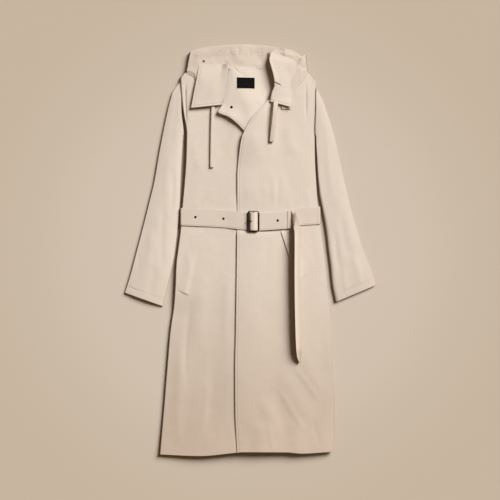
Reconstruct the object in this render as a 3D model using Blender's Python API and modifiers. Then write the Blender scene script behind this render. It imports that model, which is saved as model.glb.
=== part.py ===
"""Long hooded duster coat with its belt, laid flat on its back, front up.

World frame: +X to the right, +Y towards the hood, +Z up, the surface it lies on at z = 0.
Tables and sizes are in millimetres and become metres where a mesh is made. Left and right
are as seen from above, and the right front lies on the left one.
"""

import math
from collections import namedtuple

import bmesh
import bpy
import numpy as np

MM = 0.001

# ---- driving sizes, mm ----
CLOTH = 1.5             # wall of one layer of cloth
STRAP = 1.8             # wall of the belt
LAYER_GAP = 0.4         # clear space between stacked layers
SIDE_ROLL = 14.0        # radius over which a front turns down to its side seam
SHOULDER_ROLL = 12.0    # the same at the shoulder seam
SEAM_RISE = 1.6         # front edge over the back panel's middle surface
OVERLAP_RISE = 1.6      # right front over the left one
OVERLAP_SINK = 1.4      # left front under the right one
THROAT_RISE = 10.0      # right front over the turned-back facing
BELT_LIFT = 2.3         # back panel raised over the belt's back run
BELT_WIDTH = 55.0
CORD_THICK = 3.0
RIM_WIDTH = 28.0        # drawcord tunnel along the hood's edge
LABEL_SIZE = (56.0, 34.0)
LABEL_CENTRE = (-14.7, 534.0)
SNAP_CENTRE = (-58.9, 454.4)
BUCKLE_CENTRE = (10.1, 91.4)
BUCKLE_SIZE = (36.6, 63.6)
BUCKLE_Z = 20.0
BUCKLE_WIRE = 1.7
BUCKLE_CORNER = 8.0
CROWN_FACING = 19.0     # middle surface of the turned-back facing
LOW_FACING = 5.0        # the same at the back neck, under the right collar
FACING_FALL = 110.0     # distance over which it falls
FACING_LEAD = 10.0      # the fall starts this far inside the roll line
HOOD_JOIN = 578.3       # where the hood's folded body starts, just past the shoulder seams
BELT_RISE = (54.0, 76.0)     # the back panel climbs onto the belt between these
BELT_FALL = (142.0, 165.0)   # and comes off it between these
FOLD_FADE = 0.35        # share of a fold's length over which each end fades
FOLD_LEAD = 0.3         # how far past its end points a fold is still felt
OVERLAP_EASE = 8.0      # the left front sinks over this distance each side of the edge
OVERLAP_REACH = 60.0    # the right front stays raised this far in from its edge
OVERLAP_FADE = 40.0     # and settles over this distance
THROAT_LINE = 365.0     # height on the coat of the throat's lowest point
THROAT_EASE = 20.0
THROAT_X = 8.0          # inner end of the raised throat
THROAT_SPREAD = 85.0    # its spread sideways
THROAT_CLIMB = (302.0, 368.0)
THROAT_SETTLE = (440.0, 500.0)
BACK_HEM_SHORT = 1.5    # back hem inside the front hem
BACK_HEM_ZONE = (-655.0, -595.0)
HEM_POWER = 8           # how quickly the hem's curve dies out up the coat
SHOULDER_ZONE = (477.0, 577.0)
LABEL_WALL = 0.6
SNAP_SIZE = (4.0, 1.4)  # radius and height
SNAP_CLEAR = 1.1
HOOD_EYELET = (-150.0, 602.0, 14.6)
HOOD_SIDE_WALL = 9.0    # a fold end lower than this closes to the floor
RIM_SWELL = 1.08        # drawcord tunnel over the hood's edge height
KEEPER_WALL = 1.2
KEEPER_BEND = (1.2, 1.0)
BELT_EYE_ROOM = 9.0     # half the length of belt that rests on one high spot
BAR_WIRE = 1.3
PRONG_WIRE = 1.0
WELD = 0.01
BELT_ROW = 8            # row of BODY_EDGES at the belt
# belt round a side: from the outside edge inwards, and height or drop from the top layer
TURN_LOW = (3.0, 7.6)
TURN_IN = (2.2, 6.5)
TURN_DROP = (2.2, 0.4)

BodyEdge = namedtuple("BodyEdge", "y left right")
BODY_EDGES = [
    BodyEdge(-650, -288.6, 266.0),
    BodyEdge(-516, -276.8, 271.0),
    BodyEdge(-375, -265.3, 263.5),
    BodyEdge(-262, -255.7, 258.0),
    BodyEdge(-176, -243.8, 253.5),
    BodyEdge(-118, -239.4, 247.5),
    BodyEdge(-47, -236.5, 241.5),
    BodyEdge(10, -229.5, 234.5),
    BodyEdge(64, -222.0, 226.8),
    BodyEdge(95, -220.0, 225.5),
    BodyEdge(142, -217.5, 223.0),
    BodyEdge(224, -209.3, 216.5),
    BodyEdge(288, -204.8, 212.5),
    BodyEdge(365, -203.0, 207.6),
    BodyEdge(458, -215.5, 211.0),
    BodyEdge(541, -221.5, 213.0),
    BodyEdge(577, -222.0, 212.0),
]

HemPoint = namedtuple("HemPoint", "x y")
FRONT_HEM = [
    HemPoint(-289, -652),
    HemPoint(-164, -656),
    HemPoint(-44, -645),
    HemPoint(-22, -643),
    HemPoint(117, -644),
    HemPoint(164, -648),
    HemPoint(272, -642),
]
SHOULDER_LINE = [
    HemPoint(-222, 552),
    HemPoint(-204, 569),
    HemPoint(-150, 575),
    HemPoint(-60, 577),
    HemPoint(70, 577),
    HemPoint(150, 575),
    HemPoint(184, 571),
    HemPoint(213, 541),
]

# middle surface of the fronts away from their edges
Crown = namedtuple("Crown", "y z")
CROWN = [
    Crown(-650, 12.8),
    Crown(-400, 12.3),
    Crown(-100, 11.9),
    Crown(20, 11.4),
    Crown(95, 11.1),
    Crown(180, 11.4),
    Crown(300, 11.9),
    Crown(450, 11.4),
    Crown(577, 10.6),
]

# a soft ridge or trough between two points, its half width and its height
Fold = namedtuple("Fold", "x0 y0 x1 y1 half_width height")
FOLDS = [
    Fold(72, 250, 80, 150, 11, 1.3),
    Fold(106, 240, 103, 155, 9, 1.0),
    Fold(-122, 200, -118, 150, 12, 1.0),
    Fold(96, -380, 190, -560, 26, 2.2),
    Fold(150, -300, 232, -470, 22, 1.6),
    Fold(40, -470, 92, -600, 24, 1.5),
    Fold(-150, -40, -168, -330, 26, 1.4),
    Fold(-215, -300, -236, -600, 20, 1.6),
    Fold(-110, -330, -128, -600, 26, -1.2),
]

# free edge of the right front, and the hidden edge of the left front under it
FrontEdge = namedtuple("FrontEdge", "y over under")
FRONT_EDGES = [
    FrontEdge(-643, -43.0, 10.0),
    FrontEdge(-515, -49.3, 8.0),
    FrontEdge(-374, -50.0, 8.0),
    FrontEdge(-282, -47.0, 9.0),
    FrontEdge(-163, -44.8, 10.0),
    FrontEdge(0, -42.0, 13.0),
    FrontEdge(123, -40.0, 15.0),
    FrontEdge(235, -40.0, 15.0),
    FrontEdge(308, -34.0, 15.0),
    FrontEdge(357, -26.0, 14.0),
    FrontEdge(379, -17.3, 8.0),
    FrontEdge(404, -4.8, -2.0),
    FrontEdge(424, 7.4, -10.0),
    FrontEdge(453, 35.8, -21.0),
    FrontEdge(477, 58.0, -30.0),
    FrontEdge(498, 80.0, -42.0),
    FrontEdge(527, 90.0, -56.0),
    FrontEdge(550, 91.0, -64.0),
    FrontEdge(577, 88.0, -72.0),
]
BODY_ROWS = [
    -650, -590, -520, -450, -380, -310, -240, -170, -110, -50, 5, 35, 54, 65, 76, 108, 142,
    153, 165, 200, 250, 300, 330, 352, 370, 388, 406, 424, 450, 477, 510, 550, 567, 574, 577,
]

BACK_COLUMNS = [0.0, 0.05, 0.16, 0.5, 0.84, 0.95, 1.0]
ROLL_COLUMNS = [0.0, 0.13, 0.42, 1.0]
PANEL_COLUMNS = 8

# the throat facing: free edge, roll line, and its hidden edge under the right front
FacingRow = namedtuple("FacingRow", "y free roll hidden")
FACING = [
    FacingRow(372, -13.0, 20.0, 26.0),
    FacingRow(379, -18.0, 18.5, 33.0),
    FacingRow(392, -29.4, 14.5, 42.0),
    FacingRow(408, -46.0, 9.0, 52.0),
    FacingRow(424, -68.0, 2.5, 64.0),
    FacingRow(439, -101.0, -3.0, 73.0),
    FacingRow(463, -88.0, -11.0, 84.0),
    FacingRow(500, -80.0, -30.0, 92.0),
    FacingRow(540, -72.0, -46.0, 87.0),
    FacingRow(577.5, -66.0, -55.0, 80.0),
]

# sleeve sections from armhole to cuff: both edges, bow of the armhole, height of the crown
SleeveRow = namedtuple("SleeveRow", "inner_x inner_y outer_x outer_y bow height")
SLEEVE_LEFT = [
    SleeveRow(-204.8, 366, -224.8, 550, 4.0, 9.0),
    SleeveRow(-207.0, 338, -243.0, 524, 2.0, 12.5),
    SleeveRow(-211.5, 290, -258.0, 478, 0.0, 15.0),
    SleeveRow(-217.5, 235, -275.0, 406, 0.0, 16.5),
    SleeveRow(-223.5, 170, -294.0, 310, 0.0, 16.5),
    SleeveRow(-228.0, 108, -309.0, 222, 0.0, 16.0),
    SleeveRow(-233.2, 45, -326.0, 148, 0.0, 16.0),
    SleeveRow(-245.2, -15, -345.2, 70, 0.0, 15.5),
    SleeveRow(-258.0, -79, -364.0, -2, 0.0, 15.0),
    SleeveRow(-269.0, -134, -384.0, -78, 0.0, 14.5),
    SleeveRow(-278.0, -179.5, -401.5, -136, 0.0, 13.5),
]
SLEEVE_RIGHT = [
    SleeveRow(210.0, 368, 215.8, 541, 2.0, 9.0),
    SleeveRow(211.5, 338, 226.0, 500, 1.0, 12.5),
    SleeveRow(215.5, 290, 245.0, 442, 0.0, 15.0),
    SleeveRow(219.8, 235, 264.0, 384, 0.0, 16.5),
    SleeveRow(228.5, 180, 286.0, 292, 0.0, 16.5),
    SleeveRow(239.5, 115, 307.0, 198, 0.0, 16.0),
    SleeveRow(246.5, 60, 328.0, 113, 0.0, 16.0),
    SleeveRow(253.5, 5, 347.0, 51, 0.0, 15.5),
    SleeveRow(259.5, -50, 366.0, -9, 0.0, 15.0),
    SleeveRow(264.5, -107, 386.0, -60, 0.0, 14.5),
    SleeveRow(275.0, -166, 401.5, -112, 0.0, 13.5),
]
# share across a sleeve, -1 at its inner edge and 1 at its outer one
TOP_COLUMNS = [-1.0, -0.93, -0.8, -0.55, -0.2, 0.2, 0.55, 0.8, 0.93, 1.0]
UNDER_COLUMNS = [-1.0, -0.55, 0.0, 0.55, 1.0]
SLEEVE_SIDE_Z = 2.8     # the top sleeve's edges over the floor
SLEEVE_CURVE = 3        # power of the top sleeve's section: higher is flatter on top

# collar leaves, from the points of the leaf up to the neck: outer edge, inner edge
LeafRow = namedtuple("LeafRow", "outer_x outer_y outer_z inner_x inner_y inner_z")
COLLAR_LEFT = [
    LeafRow(-187.0, 453.0, 19.5, -88.8, 463.0, 19.5),
    LeafRow(-182.0, 480.0, 19.2, -84.6, 483.0, 19.4),
    LeafRow(-175.0, 518.0, 18.6, -76.8, 520.0, 19.2),
    LeafRow(-168.0, 553.0, 17.6, -71.4, 553.0, 18.6),
    LeafRow(-162.0, 588.0, 16.6, -67.0, 588.0, 17.2),
]
COLLAR_RIGHT = [
    LeafRow(129.3, 456.0, 27.0, 64.0, 473.0, 26.0),
    LeafRow(134.0, 487.0, 20.0, 68.5, 498.0, 28.0),
    LeafRow(137.0, 515.0, 18.0, 78.0, 527.0, 31.0),
    LeafRow(141.0, 536.0, 17.5, 74.6, 547.0, 33.0),
    LeafRow(146.0, 561.0, 17.5, 66.6, 580.0, 33.0),
    LeafRow(150.0, 585.0, 17.0, 60.5, 606.0, 30.0),
    LeafRow(142.0, 607.0, 16.5, 66.6, 631.0, 24.0),
]
StandRow = namedtuple("StandRow", "y x foot top")
COLLAR_STAND = [
    StandRow(499, 72.5, 7.0, 25.0),
    StandRow(527, 81.0, 7.0, 28.5),
    StandRow(547, 78.0, 7.0, 30.0),
    StandRow(580, 70.0, 9.2, 30.0),
    StandRow(606, 64.5, 9.2, 27.0),
    StandRow(618, 66.5, 9.8, 24.0),
]

# hood: its side pieces over the shoulders, and its folded body past them
HoodSideRow = namedtuple("HoodSideRow", "y outer inner")
HOOD_SIDE_LEFT = [
    HoodSideRow(457.0, -150, -100),
    HoodSideRow(500.0, -163, -92),
    HoodSideRow(530.0, -170, -86),
    HoodSideRow(551.0, -180, -82),
    HoodSideRow(571.0, -204, -78),
    HoodSideRow(577.5, -203.5, -77),
]
HOOD_SIDE_RIGHT = [
    HoodSideRow(449.0, 128, 92),
    HoodSideRow(490.0, 136, 92),
    HoodSideRow(520.0, 150, 94),
    HoodSideRow(548.0, 172, 94),
    HoodSideRow(571.0, 184, 92),
    HoodSideRow(577.5, 183, 91),
]
HOOD_SIDE_Z = 13.7
HoodColumn = namedtuple("HoodColumn", "x arc_y join_z")
HOOD = [
    HoodColumn(-200, 625, 6.0),
    HoodColumn(-194, 630, 11.5),
    HoodColumn(-184, 638, 13.6),
    HoodColumn(-150, 645, 14.4),
    HoodColumn(-116, 651, 14.4),
    HoodColumn(-60, 655, 14.6),
    HoodColumn(-18, 656, 12.0),
    HoodColumn(20, 654.5, 8.2),
    HoodColumn(59, 651, 6.8),
    HoodColumn(88, 647, 8.0),
    HoodColumn(121, 641, 13.6),
    HoodColumn(149, 629, 14.4),
    HoodColumn(163, 621, 12.5),
    HoodColumn(176, 621, 10.5),
    HoodColumn(181, 618, 5.5),
]
HOOD_EDGE_Z = 9.0
# section of the hood's folded body, share from the shoulder to its edge and share of the height
HOOD_SHARE = [0.0, 1.0, 1.0, 0.75, 0.5, 0.25, 0.0]
HOOD_ON_TOP = [0.0, 0.0, 1.0, 1.0, 1.0, 1.0, 1.0]
# section of the drawcord tunnel, the same way
RIM_SHARE = [0.0, 0.93, 1.0, 1.0, 0.9, 0.6, 0.25, 0.0]
RIM_HEIGHT = [0.0, 0.0, 0.2, 0.5, 0.85, 1.0, 1.0, 0.9]

CordPoint = namedtuple("CordPoint", "x y z")
CORD_LEFT = [
    CordPoint(-117.0, 456.0, 0),
    CordPoint(-118.5, 425.0, 0),
    CordPoint(-119.5, 390.0, 0),
    CordPoint(-120.4, 350.0, 0),
    CordPoint(-121.0, 310.0, 0),
    CordPoint(-121.6, 264.0, 0),
]
CORD_RIGHT = [
    CordPoint(82.0, 474.0, 8.2),
    CordPoint(80.6, 455.0, 7.4),
    CordPoint(78.4, 430.0, 4.6),
    CordPoint(75.8, 405.0, 1.8),
    CordPoint(72.0, 375.0, 0.2),
    CordPoint(68.8, 345.6, 0),
]
CORD_WIDTH_LEFT = 12.5
CORD_WIDTH_RIGHT = 15.0
# section of a flat cord, in half widths and in thicknesses
CORD_ACROSS = [-1.0, -0.8, 0.8, 1.0, 0.8, -0.8]
CORD_UP = [0.0, -0.5, -0.5, 0.0, 0.5, 0.5]

# belt: its centre line across the coat, and its height over the buckle
BeltPoint = namedtuple("BeltPoint", "x y")
BELT_LINE = [
    BeltPoint(-226, 106.5),
    BeltPoint(-92, 100.0),
    BeltPoint(-9, 91.5),
    BeltPoint(29, 90.0),
    BeltPoint(87, 93.5),
    BeltPoint(131, 97.0),
    BeltPoint(196, 106.5),
    BeltPoint(231, 111.5),
]
BELT_FRONT_X = [-213, -190, -150, -110, -70, -48, -34, -20]
BuckleRun = namedtuple("BuckleRun", "x z")
OVER_BUCKLE = [
    BuckleRun(-8.3, 16.2),
    BuckleRun(-5.2, 16.7),
    BuckleRun(0.5, 20.4),
    BuckleRun(5.5, 22.4),
    BuckleRun(10.0, 22.9),
    BuckleRun(14.5, 22.4),
    BuckleRun(19.6, 20.2),
    BuckleRun(25.4, 17.1),
    BuckleRun(28.5, 16.9),
]
UNDER_BUCKLE = [BuckleRun(6.0, 17.2), BuckleRun(13.0, 17.0), BuckleRun(20.0, 15.4)]
BELT_RIGHT_X = [40, 60, 88, 116, 131.5]
BUCKLE_RUN_X = [28.5, 60, 100, 150, 190, 218]
EYELETS = [(-173.8, 105.0), (-84.5, 100.0), (88.3, 94.0)]
EYELET_RING = (2.6, 0.8)
KEEPER_X = (120.0, 130.0)
KEEPER_CLEAR = 1.8      # keeper's inner face to the belt's edges and top

# belt end past the keeper: it turns down and hangs along the skirt, curled lengthwise
TailRow = namedtuple("TailRow", "inner_x inner_y outer_x outer_y z arch")
TAIL = [
    TailRow(133.0, 69.6, 133.0, 124.4, 15.6, 0.0),
    TailRow(139.0, 70.0, 146.5, 122.0, 17.2, 4.0),
    TailRow(142.5, 66.0, 156.0, 110.0, 18.0, 12.0),
    TailRow(143.6, 57.0, 160.5, 88.0, 18.0, 17.0),
    TailRow(144.2, 42.0, 161.5, 60.0, 17.4, 19.5),
    TailRow(144.2, 15.0, 161.0, 22.0, 17.0, 20.5),
    TailRow(144.0, -60.0, 160.5, -60.0, 17.0, 20.5),
    TailRow(145.0, -150.0, 161.5, -150.0, 15.4, 20.0),
    TailRow(147.5, -240.0, 164.0, -240.0, 15.4, 19.0),
    TailRow(149.5, -310.0, 166.0, -310.0, 15.4, 17.0),
    TailRow(152.0, -340.0, 164.0, -340.0, 16.0, 12.0),
    TailRow(156.0, -358.0, 159.6, -358.0, 17.0, 3.0),
]
TAIL_ROUND = 0.7        # below 1 the curl is fuller than a half circle

# prong: x and rise over the frame, all at one height on the coat
PRONG_Y = 91.8
PRONG = [(4.0, 1.6), (-2.5, 0.8), (-8.2, 0.0), (-10.8, -0.6)]
CORNER_TURNS = (0, 22.5, 45, 67.5, 90)

WELT_CLEAR = 0.4        # extra rise of a welt over its front's curve
# pocket welts: four corners from the top inner one round to the top outer one
WELT_LEFT = [(-165.0, 1.0), (-194.0, -145.0), (-232.0, -128.0), (-203.0, 12.0)]
WELT_RIGHT = [(100.0, 56.0), (150.0, -95.0), (188.0, -78.0), (138.0, 56.0)]

Finish = namedtuple("Finish", "colour roughness metallic")
FINISHES = {
    "coat_cloth": Finish((0.72, 0.63, 0.52), 0.85, 0.0),
    "belt_cloth": Finish((0.70, 0.61, 0.50), 0.82, 0.0),
    "drawcord_tape": Finish((0.74, 0.65, 0.54), 0.8, 0.0),
    "label_weave": Finish((0.01, 0.01, 0.01), 0.7, 0.0),
    "buckle_metal": Finish((0.10, 0.08, 0.06), 0.35, 0.9),
    "eyelet_metal": Finish((0.12, 0.09, 0.07), 0.4, 0.9),
}


# ---- curves and heights ----
def column(rows, name):
    """One named column of a table, as an array."""
    return np.array([getattr(row, name) for row in rows], dtype=float)


def smooth(knots, values, at):
    """Cubic curve through the knots that never overshoots them."""
    knots = np.asarray(knots, dtype=float)
    values = np.asarray(values, dtype=float)
    at = np.clip(at, knots[0], knots[-1])
    slope = np.diff(values) / np.diff(knots)
    tangent = np.empty_like(values)
    tangent[0] = slope[0]
    tangent[-1] = slope[-1]
    before = slope[:-1]
    after = slope[1:]
    total = before + after
    harmonic = 2.0 * before * after / np.where(np.abs(total) < 1e-9, 1.0, total)
    tangent[1:-1] = np.where(before * after > 0, harmonic, 0.0)
    i = np.clip(np.searchsorted(knots, at, side="right") - 1, 0, len(knots) - 2)
    h = knots[i + 1] - knots[i]
    t = (at - knots[i]) / h
    keep = 2 * t**3 - 3 * t**2 + 1
    return (
        keep * values[i]
        + (1 - keep) * values[i + 1]
        + (t**3 - 2 * t**2 + t) * h * tangent[i]
        + (t**3 - t**2) * h * tangent[i + 1]
    )


def along(rows, key, name, at):
    """Smooth curve of one column of a table against another."""
    return smooth(column(rows, key), column(rows, name), at)


def step(t):
    """Smooth step from 0 at t = 0 to 1 at t = 1."""
    t = np.clip(t, 0.0, 1.0)
    return t * t * (3.0 - 2.0 * t)


def between(value, span):
    """Smooth step from 0 at a span's start to 1 at its end."""
    return step((value - span[0]) / (span[1] - span[0]))


def quarter_round(distance, radius):
    """Rise of a quarter round, 0 at the edge and 1 from the radius on."""
    t = 1.0 - np.clip(distance / radius, 0.0, 1.0)
    return np.sqrt(1.0 - t * t)


def back_mid(y):
    """Middle surface of the back panel, lifted where the belt runs under it."""
    lift = between(y, BELT_RISE) * (1.0 - between(y, BELT_FALL))
    return CLOTH / 2 + BELT_LIFT * lift


def fold_height(x, y):
    """Sum of the soft ridges: each fades sideways and towards its ends."""
    total = np.zeros(np.broadcast(x, y).shape)
    for fold in FOLDS:
        dx = fold.x1 - fold.x0
        dy = fold.y1 - fold.y0
        length = math.hypot(dx, dy)
        t = ((x - fold.x0) * dx + (y - fold.y0) * dy) / length**2
        off = ((x - fold.x0) * dy - (y - fold.y0) * dx) / length
        ends = step(t / FOLD_FADE + FOLD_LEAD) * step((1.0 - t) / FOLD_FADE + FOLD_LEAD)
        total += fold.height * np.exp(-((off / fold.half_width) ** 2)) * ends
    return total


def front_mid(x, y):
    """Middle surface that both fronts share, before one is laid over the other."""
    left = along(BODY_EDGES, "y", "left", y)
    right = along(BODY_EDGES, "y", "right", y)
    shoulder = smooth(column(SHOULDER_LINE, "x"), column(SHOULDER_LINE, "y"), x)
    side = quarter_round(x - left, SIDE_ROLL) * quarter_round(right - x, SIDE_ROLL)
    side = side * quarter_round(shoulder - y, SHOULDER_ROLL)
    seam = back_mid(y) + SEAM_RISE
    crown = along(CROWN, "y", "z", y) + fold_height(x, y)
    return seam + (crown - seam) * side


def left_front_mid(x, y):
    """The left front, which sinks a little under the right one."""
    edge = along(FRONT_EDGES, "y", "over", y)
    under = between(x - edge, (-OVERLAP_EASE, OVERLAP_EASE))
    under = under * (1.0 - step((y - THROAT_LINE) / THROAT_EASE))
    return front_mid(x, y) - OVERLAP_SINK * under


def right_front_mid(x, y):
    """The right front, raised over the left one and over the turned-back facing."""
    edge = along(FRONT_EDGES, "y", "over", y)
    overlap = 1.0 - step((x - edge - OVERLAP_REACH) / OVERLAP_FADE)
    throat = (1.0 - step((x - THROAT_X) / THROAT_SPREAD)) * between(y, THROAT_CLIMB)
    throat = throat * (1.0 - between(y, THROAT_SETTLE))
    return front_mid(x, y) + OVERLAP_RISE * overlap + THROAT_RISE * throat


def front_top(x, y):
    """Upper face of whichever front shows at a place."""
    on_right = x > along(FRONT_EDGES, "y", "over", y)
    return np.where(on_right, right_front_mid(x, y), left_front_mid(x, y)) + CLOTH / 2


def facing_mid(x, y):
    """The throat facing: high where it is turned back, falling to the back neck."""
    roll = along(FACING, "y", "roll", y)
    fall = step((x - roll + FACING_LEAD) / FACING_FALL)
    return CROWN_FACING - (CROWN_FACING - LOW_FACING) * fall


# ---- scene, materials and mesh makers ----
def clear_scene():
    """Remove every object of the open file."""
    for item in list(bpy.data.objects):
        bpy.data.objects.remove(item, do_unlink=True)


def make_materials():
    """One Principled material for each finish."""
    made = {}
    for name, finish in FINISHES.items():
        material = bpy.data.materials.new(name)
        material.use_nodes = True
        shader = material.node_tree.nodes["Principled BSDF"]
        shader.inputs["Base Color"].default_value = (*finish.colour, 1.0)
        shader.inputs["Roughness"].default_value = finish.roughness
        shader.inputs["Metallic"].default_value = finish.metallic
        made[name] = material
    return made


class Workshop:
    """Makes named objects in the coat's collection."""

    def __init__(self):
        self.materials = make_materials()
        self.collection = bpy.data.collections.new("duster_coat")
        bpy.context.scene.collection.children.link(self.collection)

    def add(self, name, mesh, finish):
        """Link a mesh as a named object with its own copy of a finish."""
        material = self.materials[finish].copy()
        material.name = name + "_" + finish
        mesh.materials.clear()
        mesh.materials.append(material)
        item = bpy.data.objects.new(name, mesh)
        self.collection.objects.link(item)
        return item

    def surface(self, name, points, finish, wall, offset=0.0, ring=False):
        """Open surface through rows of points, with a wall added by Solidify."""
        rows, count = points.shape[:2]
        index = np.arange(rows * count).reshape(rows, count)
        after = np.roll(index, -1, axis=1)
        span = count if ring else count - 1
        quads = np.stack(
            [index[:-1, :span], after[:-1, :span], after[1:, :span], index[1:, :span]], axis=-1
        )
        mesh = bpy.data.meshes.new(name)
        mesh.from_pydata((points.reshape(-1, 3) * MM).tolist(), [], quads.reshape(-1, 4).tolist())
        mesh.update()
        item = self.add(name, mesh, finish)
        solidify = item.modifiers.new("wall", "SOLIDIFY")
        solidify.thickness = wall * MM
        solidify.offset = offset
        solidify.use_even_offset = True
        return item

    def loft(self, name, rings, finish):
        """Closed solid through like rings, capped at both ends."""
        rows, count = rings.shape[:2]
        index = np.arange(rows * count).reshape(rows, count)
        after = np.roll(index, -1, axis=1)
        quads = np.stack([index[:-1], after[:-1], after[1:], index[1:]], axis=-1)
        faces = quads.reshape(-1, 4).tolist()
        faces.append(index[0, ::-1].tolist())
        faces.append(index[-1].tolist())
        mesh = bpy.data.meshes.new(name)
        mesh.from_pydata((rings.reshape(-1, 3) * MM).tolist(), [], faces)
        shape = bmesh.new()
        shape.from_mesh(mesh)
        bmesh.ops.recalc_face_normals(shape, faces=shape.faces)
        shape.to_mesh(mesh)
        shape.free()
        return self.add(name, mesh, finish)

    def wire(self, name, path, radius, finish, closed=False):
        """Round wire along a path, made from a bevelled curve."""
        curve = bpy.data.curves.new(name, "CURVE")
        curve.dimensions = "3D"
        curve.bevel_depth = radius * MM
        curve.bevel_resolution = 2
        curve.use_fill_caps = not closed
        spline = curve.splines.new("POLY")
        spline.points.add(len(path) - 1)
        for point, place in zip(spline.points, path):
            point.co = (place[0] * MM, place[1] * MM, place[2] * MM, 1.0)
        spline.use_cyclic_u = closed
        guide = bpy.data.objects.new(name + "_guide", curve)
        bpy.context.scene.collection.objects.link(guide)
        graph = bpy.context.evaluated_depsgraph_get()
        mesh = bpy.data.meshes.new_from_object(guide.evaluated_get(graph))
        bpy.data.objects.remove(guide, do_unlink=True)
        shape = bmesh.new()
        shape.from_mesh(mesh)
        bmesh.ops.remove_doubles(shape, verts=shape.verts, dist=WELD * MM)
        bmesh.ops.recalc_face_normals(shape, faces=shape.faces)
        shape.to_mesh(mesh)
        shape.free()
        return self.add(name, mesh, finish)

    def torus(self, name, centre, sizes, finish):
        """Small round ring lying flat."""
        bpy.ops.mesh.primitive_torus_add(
            major_segments=10,
            minor_segments=5,
            major_radius=sizes[0] * MM,
            minor_radius=sizes[1] * MM,
        )
        return self.place_primitive(name, centre, finish)

    def disc(self, name, centre, radius, height, finish):
        """Short round stud."""
        bpy.ops.mesh.primitive_cylinder_add(vertices=12, radius=radius * MM, depth=height * MM)
        return self.place_primitive(name, centre, finish)

    def place_primitive(self, name, centre, finish):
        """Turn the primitive just added into a named part at its place."""
        made = bpy.context.active_object
        item = self.add(name, made.data, finish)
        bpy.data.objects.remove(made, do_unlink=True)
        item.location = [c * MM for c in centre]
        return item


def stacked(x, y, z):
    """Rows of points from three arrays, broadcast to one shape."""
    return np.stack(np.broadcast_arrays(x, y, z), axis=-1)


# ---- coat body ----
def body_grid(left, right, from_side):
    """Plan of a body panel: rows of points from hem to shoulder between two edges.

    from_side says which side has the closely spaced columns of a rolled seam: "left",
    "right" or "none".
    """
    y = np.array(BODY_ROWS, dtype=float)[:, None]
    roll = np.array(ROLL_COLUMNS) * SIDE_ROLL
    even = np.linspace(0.0, 1.0, PANEL_COLUMNS)[1:]
    width = right - left
    if from_side == "none":
        x = left + width * np.array(BACK_COLUMNS)
    elif from_side == "left":
        x = np.hstack([left + roll, left + roll[-1] + (width - roll[-1]) * even])
    else:
        x = np.hstack([right - roll, right - roll[-1] - (width - roll[-1]) * even])[:, ::-1]
    share = (y - y[0]) / (y[-1] - y[0])
    hem = smooth(column(FRONT_HEM, "x"), column(FRONT_HEM, "y"), x)
    top = smooth(column(SHOULDER_LINE, "x"), column(SHOULDER_LINE, "y"), x)
    near_hem = (1.0 - share) ** HEM_POWER
    near_top = between(y, SHOULDER_ZONE)
    return x, y + (hem - y[0]) * near_hem + (top - y[-1]) * near_top


def make_body(shop):
    """Back panel on the floor and the two fronts over it."""
    y = np.array(BODY_ROWS, dtype=float)[:, None]
    left = along(BODY_EDGES, "y", "left", y)
    right = along(BODY_EDGES, "y", "right", y)
    over = along(FRONT_EDGES, "y", "over", y)
    under = along(FRONT_EDGES, "y", "under", y)

    x, rows = body_grid(left, right, "none")
    back = stacked(x, rows, back_mid(y))
    back[:, :, 1] += BACK_HEM_SHORT * (1.0 - between(rows, BACK_HEM_ZONE))
    shop.surface("back_panel", back, "coat_cloth", CLOTH)

    x, rows = body_grid(left, under, "left")
    shop.surface("front_left", stacked(x, rows, left_front_mid(x, rows)), "coat_cloth", CLOTH)
    x, rows = body_grid(over, right, "right")
    shop.surface("front_right", stacked(x, rows, right_front_mid(x, rows)), "coat_cloth", CLOTH)


def sleeve_plan(table, columns):
    """Plan of a sleeve: points across it at each row, and the share across as a column."""
    side = math.copysign(1.0, table[0].outer_x)
    share = (np.array(columns)[None, :] + 1.0) / 2.0
    inner_x = column(table, "inner_x")[:, None]
    inner_y = column(table, "inner_y")[:, None]
    x = inner_x + (column(table, "outer_x")[:, None] - inner_x) * share
    y = inner_y + (column(table, "outer_y")[:, None] - inner_y) * share
    bow = column(table, "bow")[:, None] * np.sin(np.pi * share)
    return x + side * bow, y


def make_sleeve(shop, name, table):
    """Flat sleeve, open at armhole and cuff: an under sleeve on the floor, a top one over it."""
    x, y = sleeve_plan(table, UNDER_COLUMNS)
    shop.surface(name + "_under", stacked(x, y, CLOTH / 2), "coat_cloth", CLOTH)

    x, y = sleeve_plan(table, TOP_COLUMNS)
    arch = np.sqrt(1.0 - np.abs(np.array(TOP_COLUMNS)) ** SLEEVE_CURVE)
    z = SLEEVE_SIDE_Z + (column(table, "height")[:, None] - SLEEVE_SIDE_Z) * arch
    top = stacked(x, y, z)
    if table[0].outer_x > 0:
        top = top[:, ::-1]
    shop.surface(name, top, "coat_cloth", CLOTH, offset=-1.0)


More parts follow.
